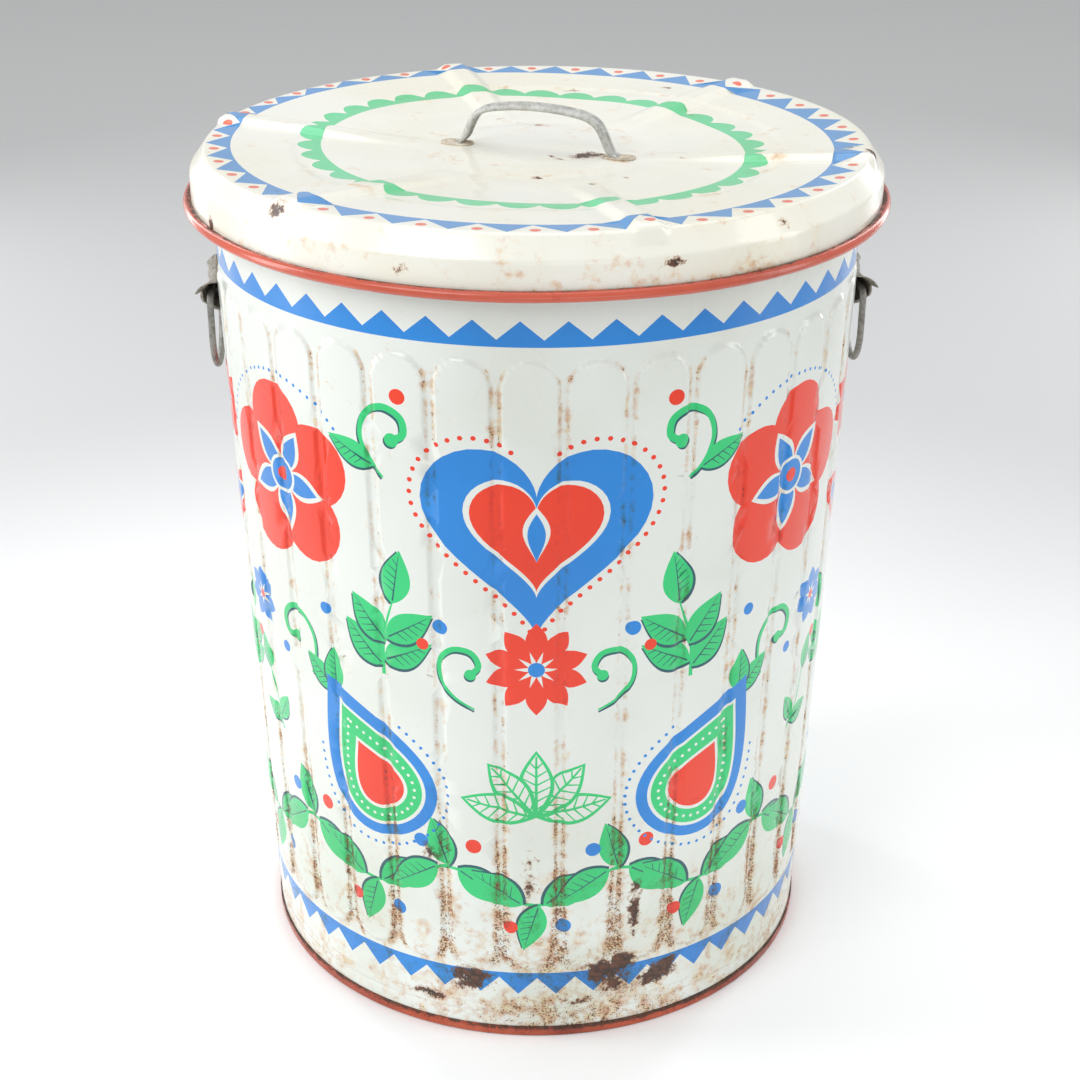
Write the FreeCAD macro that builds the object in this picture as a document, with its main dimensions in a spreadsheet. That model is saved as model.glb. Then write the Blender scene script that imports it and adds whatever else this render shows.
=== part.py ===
import FreeCAD, Part
import math
import os
import Sketcher
from types import SimpleNamespace

# Galvanised steel trash can with a domed lid, in millimetres, +Z up.
# The origin is at the centre of the foot, on the floor; the front faces -Y.
# Compass angles are measured from the front, growing towards +X.

sizes = {
    # can wall: a slightly tapered drum of sheet steel
    "wall_bottom_radius": 200.4,
    "wall_top_radius": 218.9,
    "can_height": 585.0,
    "wall_sheet": 0.9,
    # pressed flutes: raised panels with arched ends
    "flute_count": 33,
    "flats_per_flute": 3,
    "flute_first_angle": 9.755,
    "flute_relief": 1.5,
    "flute_valley_width": 5.0,
    "flute_top_height": 511.0,
    "flute_bottom_height": 58.0,
    # lapped side seam at the back
    "seam_angle": 178.85,
    "seam_width": 4.0,
    "seam_step": 0.8,
    "seam_end_inset": 16.0,
    # rolled rim: the sheet is rolled tight round its edge wire
    "rim_bead_radius": 4.2,
    # pressed bottom pan
    "floor_height": 18.0,
    "floor_sheet": 0.9,
    "pan_clearance": 0.05,
    # foot hoop: a steel band round the bottom edge
    "hoop_height": 7.4,
    "hoop_sheet": 0.9,
    "hoop_clearance": 0.05,
    # lid shell: heights are measured from the can's rolled rim, which carries it
    "lid_sheet": 0.8,
    "lid_seat_clearance": 0.3,
    "lid_shoulder_run": 10.0,
    "lid_shoulder_fall": 13.9,
    "lid_rim_rise": 9.5,
    "lid_rim_flat": 4.5,
    "lid_flat_radius": 74.0,
    "lid_flat_depth": 9.0,
    "lid_shoulder_drop": 4.4,
    "lid_groove_height": 1.8,
    "lid_bead_radius": 3.5,
    "lid_bead_drop": 24.7,
    "lid_bead_overhang": 5.5,
    # pressed ridges on the lid
    "ridge_count": 6,
    "ridge_first_angle": 17.0,
    "ridge_crest_width": 11.0,
    "ridge_flank_width": 8.5,
    "ridge_height": 5.0,
    "ridge_rim_height": 3.5,
    "ridge_inner_radius": 95.0,
    "ridge_full_radius": 150.0,
    "ridge_run_out": 7.5,
    "ridge_sink": 0.3,
    # lid handle: a grooved strap with flat pads
    "handle_angle": -19.9,
    "handle_rise": 32.2,
    "handle_crown_half": 36.0,
    "handle_crown": 4.3,
    "handle_bend": 9.3,
    "handle_foot": 56.0,
    "handle_width": 11.0,
    "handle_lobe_radius": 2.9,
    "handle_skirt": 1.3,
    "handle_groove": 1.5,
    "strap_sheet": 1.1,
    "pad_end": 69.0,
    "pad_width": 15.0,
    "pad_overlap": 5.0,
    # rivets
    "rivet_shank_radius": 2.2,
    "rivet_head_radius": 4.0,
    "rivet_head_height": 1.6,
    "rivet_clearance": 0.05,
    "head_clearance": 0.2,
    # side ears: flared tunnels that carry the bails
    "ear_angle": 92.0,
    "pivot_height": 489.5,
    "ear_sheet": 1.2,
    "ear_half_length": 34.0,
    "ear_neck_reach": 10.0,
    "ear_neck_half_height": 8.5,
    "ear_mouth_reach": 16.5,
    "ear_mouth_drop": 1.0,
    "ear_lip_length": 24.0,
    "ear_lip_clearance": 1.5,
    "ear_strap_width": 13.0,
    "ear_rivet_offset": 14.5,
    "ear_seat_clearance": 0.05,
    # bails: drop handles bent from round wire
    "bail_wire_radius": 2.3,
    "bail_half_width": 29.0,
    "bail_leg": 27.0,
    "bail_corner_radius": 5.0,
    "bail_reach": 6.0,
    "bail_joint_gap": 1.5,
    # overrun of every cutting tool past the metal that it cuts
    "overrun": 2.0,
}

doc = FreeCAD.newDocument("TrashCan")
sheet = doc.addObject("Spreadsheet::Sheet", "Sizes")
for row, (name, number) in enumerate(sizes.items(), start=1):
    sheet.set(f"A{row}", name)
    sheet.set(f"B{row}", str(number))
    sheet.setAlias(f"B{row}", name)
doc.recompute()


class Size:
    # a number that remembers the spreadsheet expression behind it
    def __init__(self, text, value):
        self.text = text
        self.value = value

    def joined(self, sign, other, result):
        return Size(f"({self.text} {sign} {other.text})", result)

    def __add__(self, other):
        other = as_size(other)
        return self.joined("+", other, self.value + other.value)

    def __sub__(self, other):
        other = as_size(other)
        return self.joined("-", other, self.value - other.value)

    def __mul__(self, other):
        other = as_size(other)
        return self.joined("*", other, self.value * other.value)

    def __truediv__(self, other):
        other = as_size(other)
        return self.joined("/", other, self.value / other.value)

    def __radd__(self, other):
        return as_size(other) + self

    def __rsub__(self, other):
        return as_size(other) - self

    def __rmul__(self, other):
        return as_size(other) * self

    def __neg__(self):
        return as_size(0) - self

    def root(self):
        return Size(f"sqrt({self.text})", math.sqrt(self.value))


def as_size(thing):
    if isinstance(thing, Size):
        return thing
    return Size(repr(float(thing)), float(thing))


d = SimpleNamespace(**{name: Size(f"Sizes.{name}", float(sheet.get(name))) for name in sizes})
zero = as_size(0)


# Helpers that draw with bound sizes

def bind(thing, **properties):
    for name, size in properties.items():
        thing.setExpression(name, as_size(size).text)


def body_plane(body, role):
    return next(item for item in body.Origin.OriginFeatures if item.Role == role)


def new_sketch(body, name, role, offset=zero):
    sketch = body.newObject("Sketcher::SketchObject", name)
    sketch.AttachmentSupport = [(body_plane(body, role), "")]
    sketch.MapMode = "FlatFace"
    sketch.setExpression("AttachmentOffset.Base.z", offset.text)
    return sketch


def pin(sketch, edge, end, point):
    # holds one end of an edge at a point measured from the sketch's origin
    for kind, axis, size in (("DistanceX", -2, point[0]), ("DistanceY", -1, point[1])):
        if size.value == 0:
            sketch.addConstraint(Sketcher.Constraint("PointOnObject", edge, end, axis))
            continue
        index = sketch.addConstraint(Sketcher.Constraint(kind, -1, 1, edge, end, size.value))
        sketch.setExpression(f"Constraints[{index}]", size.text)


def vector(point):
    return FreeCAD.Vector(point[0].value, point[1].value, 0)


def draw(sketch, corners, closed=True):
    # straight edges from corner to corner, each corner an (x, y) pair of sizes
    corners = [tuple(as_size(size) for size in corner) for corner in corners]
    pairs = list(zip(corners, corners[1:] + corners[:1]))
    if not closed:
        pairs = pairs[:-1]
    edges = [sketch.addGeometry(Part.LineSegment(vector(a), vector(b)), False) for a, b in pairs]
    for edge, (start, end) in zip(edges, pairs):
        pin(sketch, edge, 1, start)
    links = list(zip(edges, edges[1:] + edges[:1]))
    if not closed:
        pin(sketch, edges[-1], 2, pairs[-1][1])
        links = links[:-1]
    for edge, after in links:
        sketch.addConstraint(Sketcher.Constraint("Coincident", edge, 2, after, 1))


def round_corners(centre, radius, first, last, sides):
    # corners of a round drawn in flats, from one compass angle in degrees to another
    corners = []
    for step in range(sides + 1):
        angle = math.radians(first + (last - first) * step / sides)
        corners.append((centre[0] + radius * math.cos(angle), centre[1] + radius * math.sin(angle)))
    return corners


side_count = round(d.flute_count.value * d.flats_per_flute.value)
side_cosine = math.cos(math.pi / side_count)


def ring_of_corners(corner, first):
    radius, height = (as_size(size).value for size in corner)
    angles = [math.radians(first + (side + 0.5) * 360 / side_count) for side in range(side_count + 1)]
    return [FreeCAD.Vector(radius * math.sin(angle), -radius * math.cos(angle), height) for angle in angles]


def closed(name, faces):
    # a solid from the flat faces all round it
    solid = Part.makeSolid(Part.makeShell(faces))
    if solid.Volume < 0:
        solid = Part.makeSolid(Part.makeShell([face.reversed() for face in faces]))
    piece = doc.addObject("Part::Feature", name)
    piece.Shape = solid
    return piece


def turned(name, profile, first=d.flute_first_angle):
    # a round piece drawn in flats, a few to each flute, from its profile of (radius, height) corners
    faces = []
    for start, end in zip(profile, profile[1:] + profile[:1]):
        low, high = ring_of_corners(start, first.value), ring_of_corners(end, first.value)
        if low[0].z == high[0].z:
            rings = [Part.makePolygon(ring) for ring in (low, high) if ring[0].x != 0]
            faces.append(Part.makeFace(rings, "Part::FaceMakerBullseye"))
        elif low[0].x != 0:
            for a, b, c, e in zip(low, low[1:], high[1:], high):
                faces.append(Part.Face(Part.makePolygon([a, b, c, e, a])))
    return closed(name, faces)


def lofted(name, outlines, angle=zero):
    # a closed form with flat faces between the matching corners of one outline and the next
    turn = FreeCAD.Rotation(FreeCAD.Vector(0, 0, 1), angle.value)
    rings = [
        [turn.multVec(FreeCAD.Vector(*(as_size(size).value for size in corner))) for corner in outline]
        for outline in outlines
    ]
    faces = [Part.Face(Part.makePolygon(ring + ring[:1])) for ring in (rings[0], rings[-1])]
    for low, high in zip(rings, rings[1:]):
        for a, b, c, e in zip(low, low[1:] + low[:1], high[1:] + high[:1], high):
            faces.append(Part.Face(Part.makePolygon([a, b, c, e, a])))
    return closed(name, faces)


def boolean(kind, name, base, tool):
    result = doc.addObject(f"Part::{kind}", name)
    result.Base = base
    result.Tool = tool
    return result


def joined(name, pieces):
    result = doc.addObject("Part::MultiFuse", name)
    result.Shapes = pieces
    return result


def turn_about_z(thing, angle):
    upright_axis = FreeCAD.Vector(0, 0, 1)
    thing.Placement = FreeCAD.Placement(FreeCAD.Vector(), FreeCAD.Rotation(upright_axis, angle.value))


# Places that several pieces share

rim_centre_height = d.can_height - d.rim_bead_radius
rim_centre_radius = d.wall_top_radius - d.wall_sheet + d.rim_bead_radius
wall_taper = (d.wall_top_radius - d.wall_bottom_radius) / rim_centre_height


def wall_radius(height):
    return d.wall_bottom_radius + wall_taper * height


def wall_layer(name, inside, outside):
    # the layer between two offsets of the wall's outside
    top = rim_centre_height - d.overrun
    return turned(name, [
        (wall_radius(zero) + inside, 0),
        (wall_radius(zero) + outside, 0),
        (wall_radius(top) + outside, top),
        (wall_radius(top) + inside, top),
    ])


# Can wall

rim_centre = (rim_centre_radius, rim_centre_height)
rim_arc, rim_sides = (180, -60), 4
rim_corners = round_corners(rim_centre, d.rim_bead_radius, *rim_arc, rim_sides)
wall_body = turned(
    "wall_drum",
    [
        (wall_radius(zero) - d.wall_sheet, 0),
        (wall_radius(zero), 0),
        (wall_radius(rim_corners[-1][1]), rim_corners[-1][1]),
    ]
    + list(reversed(rim_corners)),
)


def flute_columns(name, inset, sides):
    # one arched panel outline, pushed through the wall and repeated round the can
    body = doc.addObject("PartDesign::Body", name)
    body.AllowCompound = True
    top_half = wall_radius(d.flute_top_height) * math.pi / d.flute_count - d.flute_valley_width / 2
    low_half = wall_radius(d.flute_bottom_height) * math.pi / d.flute_count - d.flute_valley_width / 2
    top_spring = d.flute_top_height - top_half
    low_spring = d.flute_bottom_height + low_half
    top, low = top_half - inset, low_half - inset
    reach = d.wall_bottom_radius - d.overrun * 4
    sketch = new_sketch(body, f"{name}_outline", "XZ_Plane", reach)
    draw(sketch, round_corners((zero, top_spring), top, 0, 180, sides)
         + round_corners((zero, low_spring), low, 180, 360, sides))
    pad = body.newObject("PartDesign::Pad", f"{name}_pad")
    pad.Profile = sketch
    bind(pad, Length=d.wall_top_radius - reach + d.overrun * 4)
    pattern = body.newObject("PartDesign::PolarPattern", f"{name}_round")
    pattern.Originals = [pad]
    pattern.Axis = (body_plane(body, "Z_Axis"), [""])
    pattern.Angle = 360
    bind(pattern, Occurrences=d.flute_count)
    body.Tip = pattern
    turn_about_z(body, d.flute_first_angle)
    return body


half_sheet = d.wall_sheet / 2
flute_panels = boolean(
    "Common", "flute_panels",
    flute_columns("flute_outside", zero, 5),
    wall_layer("flute_outer_layer", -half_sheet, d.flute_relief),
)
flute_hollows = boolean(
    "Common", "flute_hollows",
    flute_columns("flute_inside", d.wall_sheet, 3),
    wall_layer("flute_inner_layer", -(d.wall_sheet + d.overrun), d.flute_relief - d.wall_sheet),
)


def block(name, low, high):
    # a box between two corners
    box = doc.addObject("Part::Box", name)
    bind(box, Length=high[0] - low[0], Width=high[1] - low[1], Height=high[2] - low[2])
    for axis, size in zip("xyz", low):
        box.setExpression(f"Placement.Base.{axis}", as_size(size).text)
    return box


seam_block = block(
    "seam_block",
    (-d.seam_width / 2, -(d.wall_top_radius + d.overrun * 4), d.seam_end_inset),
    (d.seam_width / 2, -(d.wall_bottom_radius - d.overrun * 4), d.can_height - d.seam_end_inset),
)
seam_turned = doc.addObject("Part::Compound", "seam_turned")
seam_turned.Links = [seam_block]
turn_about_z(seam_turned, d.seam_angle)
side_seam = boolean(
    "Common", "side_seam", seam_turned, wall_layer("seam_layer", -half_sheet, d.seam_step)
)


rivet_sides = 8


def rod(name, radius, start, length):
    # a round bar that runs outward through the front of the wall, along -Y
    bar = doc.addObject("Part::Prism", name)
    bar.Polygon = rivet_sides
    bind(bar, Circumradius=radius, Height=length)
    bar.Placement = FreeCAD.Placement(
        FreeCAD.Vector(), FreeCAD.Rotation(FreeCAD.Vector(1, 0, 0), 90)
    )
    bar.setExpression("Placement.Base.y", (-start[0]).text)
    bar.setExpression("Placement.Base.z", start[1].text)
    return bar


def turned_copy(name, pieces, angle):
    # pieces made at the front of the can, turned to their compass angle
    group = doc.addObject("Part::Compound", name)
    group.Links = pieces
    turn_about_z(group, angle)
    return group


ear_rivet_heights = (d.pivot_height + d.ear_rivet_offset, d.pivot_height - d.ear_rivet_offset)
ear_angles = {"right": d.ear_angle, "left": d.ear_angle - 180}
hole_rods = [
    rod(f"ear_hole_{row}", d.rivet_shank_radius + d.rivet_clearance,
        (d.wall_bottom_radius - d.overrun * 4, height), d.wall_top_radius - d.wall_bottom_radius + d.overrun * 8)
    for row, height in enumerate(ear_rivet_heights)
]
ear_holes = [turned_copy(f"ear_holes_{side}", hole_rods, angle) for side, angle in ear_angles.items()]
can_wall = boolean(
    "Cut", "can_wall",
    joined("wall_formed", [wall_body, flute_panels, side_seam]),
    joined("wall_cuts", [flute_hollows] + ear_holes),
)

# Bottom pan, pressed into the foot of the wall

pan_radius = wall_radius(zero) - d.wall_sheet - d.pan_clearance
can_bottom = turned("can_bottom", [
    (0, d.floor_height - d.floor_sheet),
    (pan_radius - d.floor_sheet, d.floor_height - d.floor_sheet),
    (pan_radius - d.floor_sheet, 0),
    (pan_radius, 0),
    (pan_radius, d.floor_height),
    (0, d.floor_height),
])

# Foot hoop

hoop_inner = wall_radius(d.hoop_height) + d.hoop_clearance
foot_hoop = turned("foot_hoop", [
    (hoop_inner, 0),
    (hoop_inner + d.hoop_sheet, 0),
    (hoop_inner + d.hoop_sheet, d.hoop_height),
    (hoop_inner, d.hoop_height),
])

# Lid shell: its shoulder rests on the rolled rim of the can

slant = (d.lid_shoulder_run * d.lid_shoulder_run + d.lid_shoulder_fall * d.lid_shoulder_fall).root()
shoulder_facing = math.atan2(d.lid_shoulder_run.value, d.lid_shoulder_fall.value)
rim_step = (rim_arc[1] - rim_arc[0]) / rim_sides
seat_share = max(  # the rolled rim meets the shoulder at one of the corners between its flats
    math.cos(math.radians(rim_arc[0] + rim_step * corner) - shoulder_facing) for corner in range(rim_sides + 1)
)
seat_reach = d.rim_bead_radius * seat_share + d.lid_seat_clearance + d.lid_sheet
seat_radius = rim_centre_radius + seat_reach * d.lid_shoulder_fall / slant
seat_height = rim_centre_height + seat_reach * d.lid_shoulder_run / slant
lean = d.lid_shoulder_run / d.lid_shoulder_fall
lid_top = rim_centre_height + d.lid_rim_rise


def shoulder_radius(height):
    return seat_radius + (seat_height - height) * lean


shoulder_low = rim_centre_height - d.lid_shoulder_drop
lid_edge = shoulder_radius(shoulder_low)
shoulder_top = shoulder_radius(lid_top)
lid_rim = shoulder_top - d.lid_rim_flat
flat_height = lid_top - d.lid_flat_depth
sheet_across = d.lid_sheet * slant / d.lid_shoulder_fall
bead_centre = (lid_edge + d.lid_bead_overhang - d.lid_bead_radius, rim_centre_height - d.lid_bead_drop)
bead_corners = round_corners(bead_centre, d.lid_bead_radius, 60, -180, 4)
lid_body = turned(
    "lid_pressing",
    [
        (0, flat_height - d.lid_sheet),
        (0, flat_height),
        (d.lid_flat_radius, flat_height),
        (lid_rim, lid_top),
        (shoulder_top, lid_top),
        (lid_edge, shoulder_low),
        (lid_edge, bead_centre[1] + d.lid_groove_height),
    ]
    + bead_corners
    + [
        (lid_edge - d.lid_sheet, shoulder_low + (sheet_across - d.lid_sheet) / lean),
        (shoulder_radius(lid_top - d.lid_sheet) - sheet_across, lid_top - d.lid_sheet),
        (d.lid_flat_radius, flat_height - d.lid_sheet),
    ],
)

# Six pressed ridges run from the dish over the rim of the lid

def dish_height(radius):
    return flat_height + (lid_top - flat_height) * (radius - d.lid_flat_radius) / (lid_rim - d.lid_flat_radius)


ridge_stations = [
    (d.ridge_inner_radius, dish_height(d.ridge_inner_radius), -d.ridge_sink),
    (d.ridge_full_radius, dish_height(d.ridge_full_radius), d.ridge_height),
    (lid_rim, lid_top, d.ridge_rim_height),
    (shoulder_top, lid_top, d.ridge_rim_height),
    (shoulder_top + d.ridge_run_out, lid_top - d.ridge_run_out / lean, -d.ridge_sink),
]
flank_lean = d.ridge_flank_width / d.ridge_height
flank_across = d.lid_sheet * (flank_lean * flank_lean + 1).root()


def ridge(name, drop, depth, narrowing, angle):
    # the ridge form along one radius, moved inward by drop and reaching depth below the dish
    outlines = []
    for radius, surface, height in ridge_stations:
        crest = d.ridge_crest_width / 2 + drop * flank_lean - narrowing
        base = crest + (height - drop + depth) * flank_lean
        outlines.append([
            (-base, -radius, surface - depth),
            (base, -radius, surface - depth),
            (crest, -radius, surface + height - drop),
            (-crest, -radius, surface + height - drop),
        ])
    return lofted(name, outlines, angle)


ridge_step = as_size(360) / d.ridge_count
ridge_shells, ridge_hollows = [], []
for number in range(round(d.ridge_count.value)):
    angle = d.ridge_first_angle + ridge_step * number
    ridge_shells.append(ridge(f"ridge_outside_{number}", zero, d.lid_sheet / 2, zero, angle))
    ridge_hollows.append(
        ridge(f"ridge_inside_{number}", d.lid_sheet, d.lid_sheet + d.overrun, flank_across, angle)
    )


def upright(name, radius, place, height):
    # a standing round bar from a place (x, z)
    bar = doc.addObject("Part::Prism", name)
    bar.Polygon = rivet_sides
    bind(bar, Circumradius=radius, Height=height)
    bar.setExpression("Placement.Base.x", place[0].text)
    bar.setExpression("Placement.Base.z", place[1].text)
    return bar


handle_rivet_radius = d.pad_end - d.pad_width / 2
handle_turns = (d.handle_angle, d.handle_angle + 180)
lid_hole = upright(
    "lid_hole", d.rivet_shank_radius + d.rivet_clearance,
    (handle_rivet_radius, flat_height - d.overrun), d.overrun * 2,
)
lid_holes = [turned_copy(f"lid_holes_{side}", [lid_hole], angle) for side, angle in enumerate(handle_turns)]
lid_shell = boolean(
    "Cut", "lid_shell",
    joined("lid_formed", [lid_body] + ridge_shells),
    joined("lid_cuts", ridge_hollows + lid_holes),
)

# Lid handle: a grooved strap that ends in flat pads

lid_handle = doc.addObject("PartDesign::Body", "lid_handle")
handle_top = flat_height + d.handle_rise
crown_radius = (d.handle_crown_half * d.handle_crown_half + d.handle_crown * d.handle_crown) / (d.handle_crown * 2)
crown_end = (d.handle_crown_half, handle_top - d.handle_crown)
along = ((crown_radius - d.handle_crown) / crown_radius, -d.handle_crown_half / crown_radius)
bend = (crown_end[0] + along[0] * d.handle_bend, crown_end[1] + along[1] * d.handle_bend)
foot = (d.handle_foot, flat_height)
leg = (foot[0] - bend[0], foot[1] - bend[1])
leg_length = (leg[0] * leg[0] + leg[1] * leg[1]).root()
down = (leg[0] / leg_length, leg[1] / leg_length)
leg_start = (bend[0] + down[0] * d.handle_bend, bend[1] + down[1] * d.handle_bend)
bend_share = d.handle_bend / (1 - along[0] * down[0] - along[1] * down[1])
bend_centre = tuple(bend[axis] + (down[axis] - along[axis]) * bend_share for axis in (0, 1))


def arc_flats(start, end, centre, sides):
    # corners along the arc from start to end, both included
    begin = vector(start) - vector(centre)
    sweep = begin.getAngle(vector(end) - vector(centre))
    corners = []
    for step in range(sides + 1):
        cosine, sine = math.cos(-sweep * step / sides), math.sin(-sweep * step / sides)
        across, rise = start[0] - centre[0], start[1] - centre[1]
        corners.append((centre[0] + across * cosine - rise * sine, centre[1] + across * sine + rise * cosine))
    return corners


path = new_sketch(lid_handle, "handle_path", "XZ_Plane")
crown_flats = arc_flats((zero, handle_top), crown_end, (zero, handle_top - crown_radius), 2)
bend_flats = arc_flats(crown_end, leg_start, bend_centre, 3)
draw(path, crown_flats + bend_flats[1:] + [foot], closed=False)
lobe_height = handle_top - d.handle_lobe_radius
half_width = d.handle_width / 2
lobe_centre = half_width - d.handle_lobe_radius
groove = handle_top - d.handle_groove
skirt_foot = lobe_height - d.handle_skirt
inside = half_width - d.strap_sheet
section = new_sketch(lid_handle, "handle_section", "YZ_Plane")
draw(section, [
    (-half_width, skirt_foot),
    *round_corners((-lobe_centre, lobe_height), d.handle_lobe_radius, 180, 60, 2),
    (0, groove),
    *round_corners((lobe_centre, lobe_height), d.handle_lobe_radius, 120, 0, 2),
    (half_width, skirt_foot),
    (inside, skirt_foot),
    (lobe_centre, handle_top - d.strap_sheet),
    (0, groove - d.strap_sheet),
    (-lobe_centre, handle_top - d.strap_sheet),
    (-inside, skirt_foot),
])
strap = lid_handle.newObject("PartDesign::AdditivePipe", "handle_strap")
strap.Profile = section
strap.Spine = (path, [])
strap.Transition = "Right corner"
pad_centre = d.pad_end - d.pad_width / 2
pad_half = d.pad_width / 2
pad_sketch = new_sketch(lid_handle, "handle_pad_outline", "XY_Plane", flat_height)
draw(pad_sketch, [
    (d.handle_foot - d.pad_overlap, -pad_half),
    *round_corners((pad_centre, zero), pad_half, -90, 90, 6),
    (d.handle_foot - d.pad_overlap, pad_half),
])
plate = lid_handle.newObject("PartDesign::Pad", "handle_pad")
plate.Profile = pad_sketch
bind(plate, Length=d.strap_sheet)
both_halves = lid_handle.newObject("PartDesign::Mirrored", "handle_mirrored")
both_halves.Originals = [strap, plate]
both_halves.MirrorPlane = (body_plane(lid_handle, "YZ_Plane"), [""])
lid_handle.Tip = both_halves
doc.recompute()
hole_sketch = new_sketch(lid_handle, "handle_holes_outline", "XY_Plane", flat_height + d.strap_sheet)
hole_radius = d.rivet_shank_radius + d.rivet_clearance
for side in (1, -1):
    draw(hole_sketch, round_corners((pad_centre * side, zero), hole_radius, 0, 360, rivet_sides)[:-1])
holes = lid_handle.newObject("PartDesign::Pocket", "handle_holes")
holes.Profile = hole_sketch
bind(holes, Length=d.strap_sheet + d.overrun)
below = new_sketch(lid_handle, "handle_underside_outline", "XY_Plane", flat_height)
draw(below, [
    (-d.pad_end, -d.pad_width),
    (d.pad_end, -d.pad_width),
    (d.pad_end, d.pad_width),
    (-d.pad_end, d.pad_width),
])
trim = lid_handle.newObject("PartDesign::Pocket", "handle_underside")
trim.Profile = below
bind(trim, Length=d.overrun * 4)
lid_handle.Tip = trim
turn_about_z(lid_handle, d.handle_angle)

# Rivets: a shank with a formed head at each end


def rivet(name, grip, place):
    # a standing rivet from a place (x, z) under the pile that it holds
    gap = d.head_clearance
    shank = upright(f"{name}_shank", d.rivet_shank_radius, (place[0], place[1] - gap), grip + gap * 2)
    heads = [
        upright(f"{name}_{side}", d.rivet_head_radius, (place[0], base), d.rivet_head_height)
        for side, base in (("top", place[1] + grip + gap), ("tail", place[1] - gap - d.rivet_head_height))
    ]
    return joined(name, [shank] + heads)


lid_rivet = rivet("lid_rivet", d.lid_sheet + d.strap_sheet, (handle_rivet_radius, flat_height - d.lid_sheet))
lid_rivets = doc.addObject("Part::Compound", "lid_rivets")
lid_rivets.Links = [turned_copy(f"lid_rivet_{side}", [lid_rivet], angle) for side, angle in enumerate(handle_turns)]

# The left ear sits on a panel, the right ear over a valley, so their rivets grip different piles
ear_strap_out = d.flute_relief + d.ear_seat_clearance + d.ear_sheet
ear_inner_faces = {"right": -d.wall_sheet, "left": d.flute_relief - d.wall_sheet}
ear_rivet_groups = []
for side, angle in ear_angles.items():
    grip = ear_strap_out - ear_inner_faces[side]
    upright_rivet = rivet(f"ear_rivet_{side}", grip, (zero, zero))
    for row, height in enumerate(ear_rivet_heights):
        laid = doc.addObject("Part::Compound", f"ear_rivet_{side}_{row}")
        laid.Links = [upright_rivet]
        laid.Placement = FreeCAD.Placement(
            FreeCAD.Vector(), FreeCAD.Rotation(FreeCAD.Vector(1, 0, 0), 90)
        )
        laid.setExpression("Placement.Base.y", (-(wall_radius(height) + ear_inner_faces[side])).text)
        laid.setExpression("Placement.Base.z", height.text)
        ear_rivet_groups.append(turned_copy(f"ear_rivet_{side}_{row}_placed", [laid], angle))
ear_rivets = doc.addObject("Part::Compound", "ear_rivets")
ear_rivets.Links = ear_rivet_groups

# Ears: flared tunnels stamped from sheet, strapped and riveted to the wall

pivot_radius = wall_radius(d.pivot_height)


hood_station_shares = (-1, -0.7, -0.35, 0, 0.35, 0.7, 1)
rise_share = d.ear_neck_half_height / d.ear_neck_reach


def hood(name, shrink):
    # the tunnel along the tangent, narrow at its neck and flared at both mouths
    outlines = []
    for share in hood_station_shares:
        along = d.ear_half_length * share
        reach = d.ear_neck_reach + (d.ear_mouth_reach - d.ear_neck_reach) * share**2 - shrink
        middle = d.pivot_height - d.ear_mouth_drop * share**2
        arc = [
            (along, -(pivot_radius + reach * math.cos(angle)), middle + reach * rise_share * math.sin(angle))
            for angle in (math.pi / 6 * step for step in range(3, -4, -1))
        ]
        back = -(pivot_radius - d.overrun * 4)
        outlines.append([(along, back, arc[0][2]), *arc, (along, back, arc[-1][2])])
    return lofted(name, outlines)


hood_shell = boolean("Cut", "hood_shell", hood("hood_outside", zero), hood("hood_inside", d.ear_sheet))


def seat_of_ear(height, beyond):
    # its flats lie just clear of the panels, and beyond this seat by the given size
    return (wall_radius(height) + d.flute_relief + d.ear_seat_clearance + beyond) / side_cosine


lip_height = d.pivot_height + d.bail_wire_radius + d.ear_lip_clearance
near_side = -(pivot_radius + d.ear_mouth_reach + d.overrun)
far_side = -(pivot_radius - d.overrun * 8)
sky, ground = d.pivot_height + d.ear_mouth_reach * 2, d.pivot_height - d.ear_mouth_reach * 2
end = d.ear_half_length + d.overrun * 4
hood_cuts = joined("hood_cuts", [
    block("hood_left_lip", (-end, near_side, ground), (-d.ear_lip_length, far_side, lip_height)),
    block("hood_right_lip", (d.ear_lip_length, near_side, ground), (end, far_side, lip_height)),
    turned("hood_seat", [
        (0, 0),
        (seat_of_ear(zero, zero), 0),
        (seat_of_ear(rim_centre_height, zero), rim_centre_height),
        (0, rim_centre_height),
    ], zero),
])
hood_trimmed = boolean("Cut", "hood_trimmed", hood_shell, hood_cuts)
strap_body = doc.addObject("PartDesign::Body", "ear_strap_column")
strap_sketch = new_sketch(strap_body, "ear_strap_outline", "XZ_Plane", pivot_radius - d.overrun * 2)
strap_half = d.ear_strap_width / 2
draw(strap_sketch, round_corners((zero, ear_rivet_heights[0]), strap_half, 0, 180, 4)
     + round_corners((zero, ear_rivet_heights[1]), strap_half, 180, 360, 4))
strap_pad = strap_body.newObject("PartDesign::Pad", "ear_strap_pad")
strap_pad.Profile = strap_sketch
bind(strap_pad, Length=d.overrun * 6)
ear_strap = boolean(
    "Common", "ear_strap", strap_body,
    turned("ear_strap_layer", [
        (seat_of_ear(zero, zero), 0),
        (seat_of_ear(zero, d.ear_sheet), 0),
        (seat_of_ear(rim_centre_height, d.ear_sheet), rim_centre_height),
        (seat_of_ear(rim_centre_height, zero), rim_centre_height),
    ], zero),
)
ear_form = boolean("Cut", "ear_form", joined("ear_joined", [hood_trimmed, ear_strap]), joined("ear_form_holes", hole_rods))

# Bails: wire handles whose ends meet inside the ears

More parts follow.
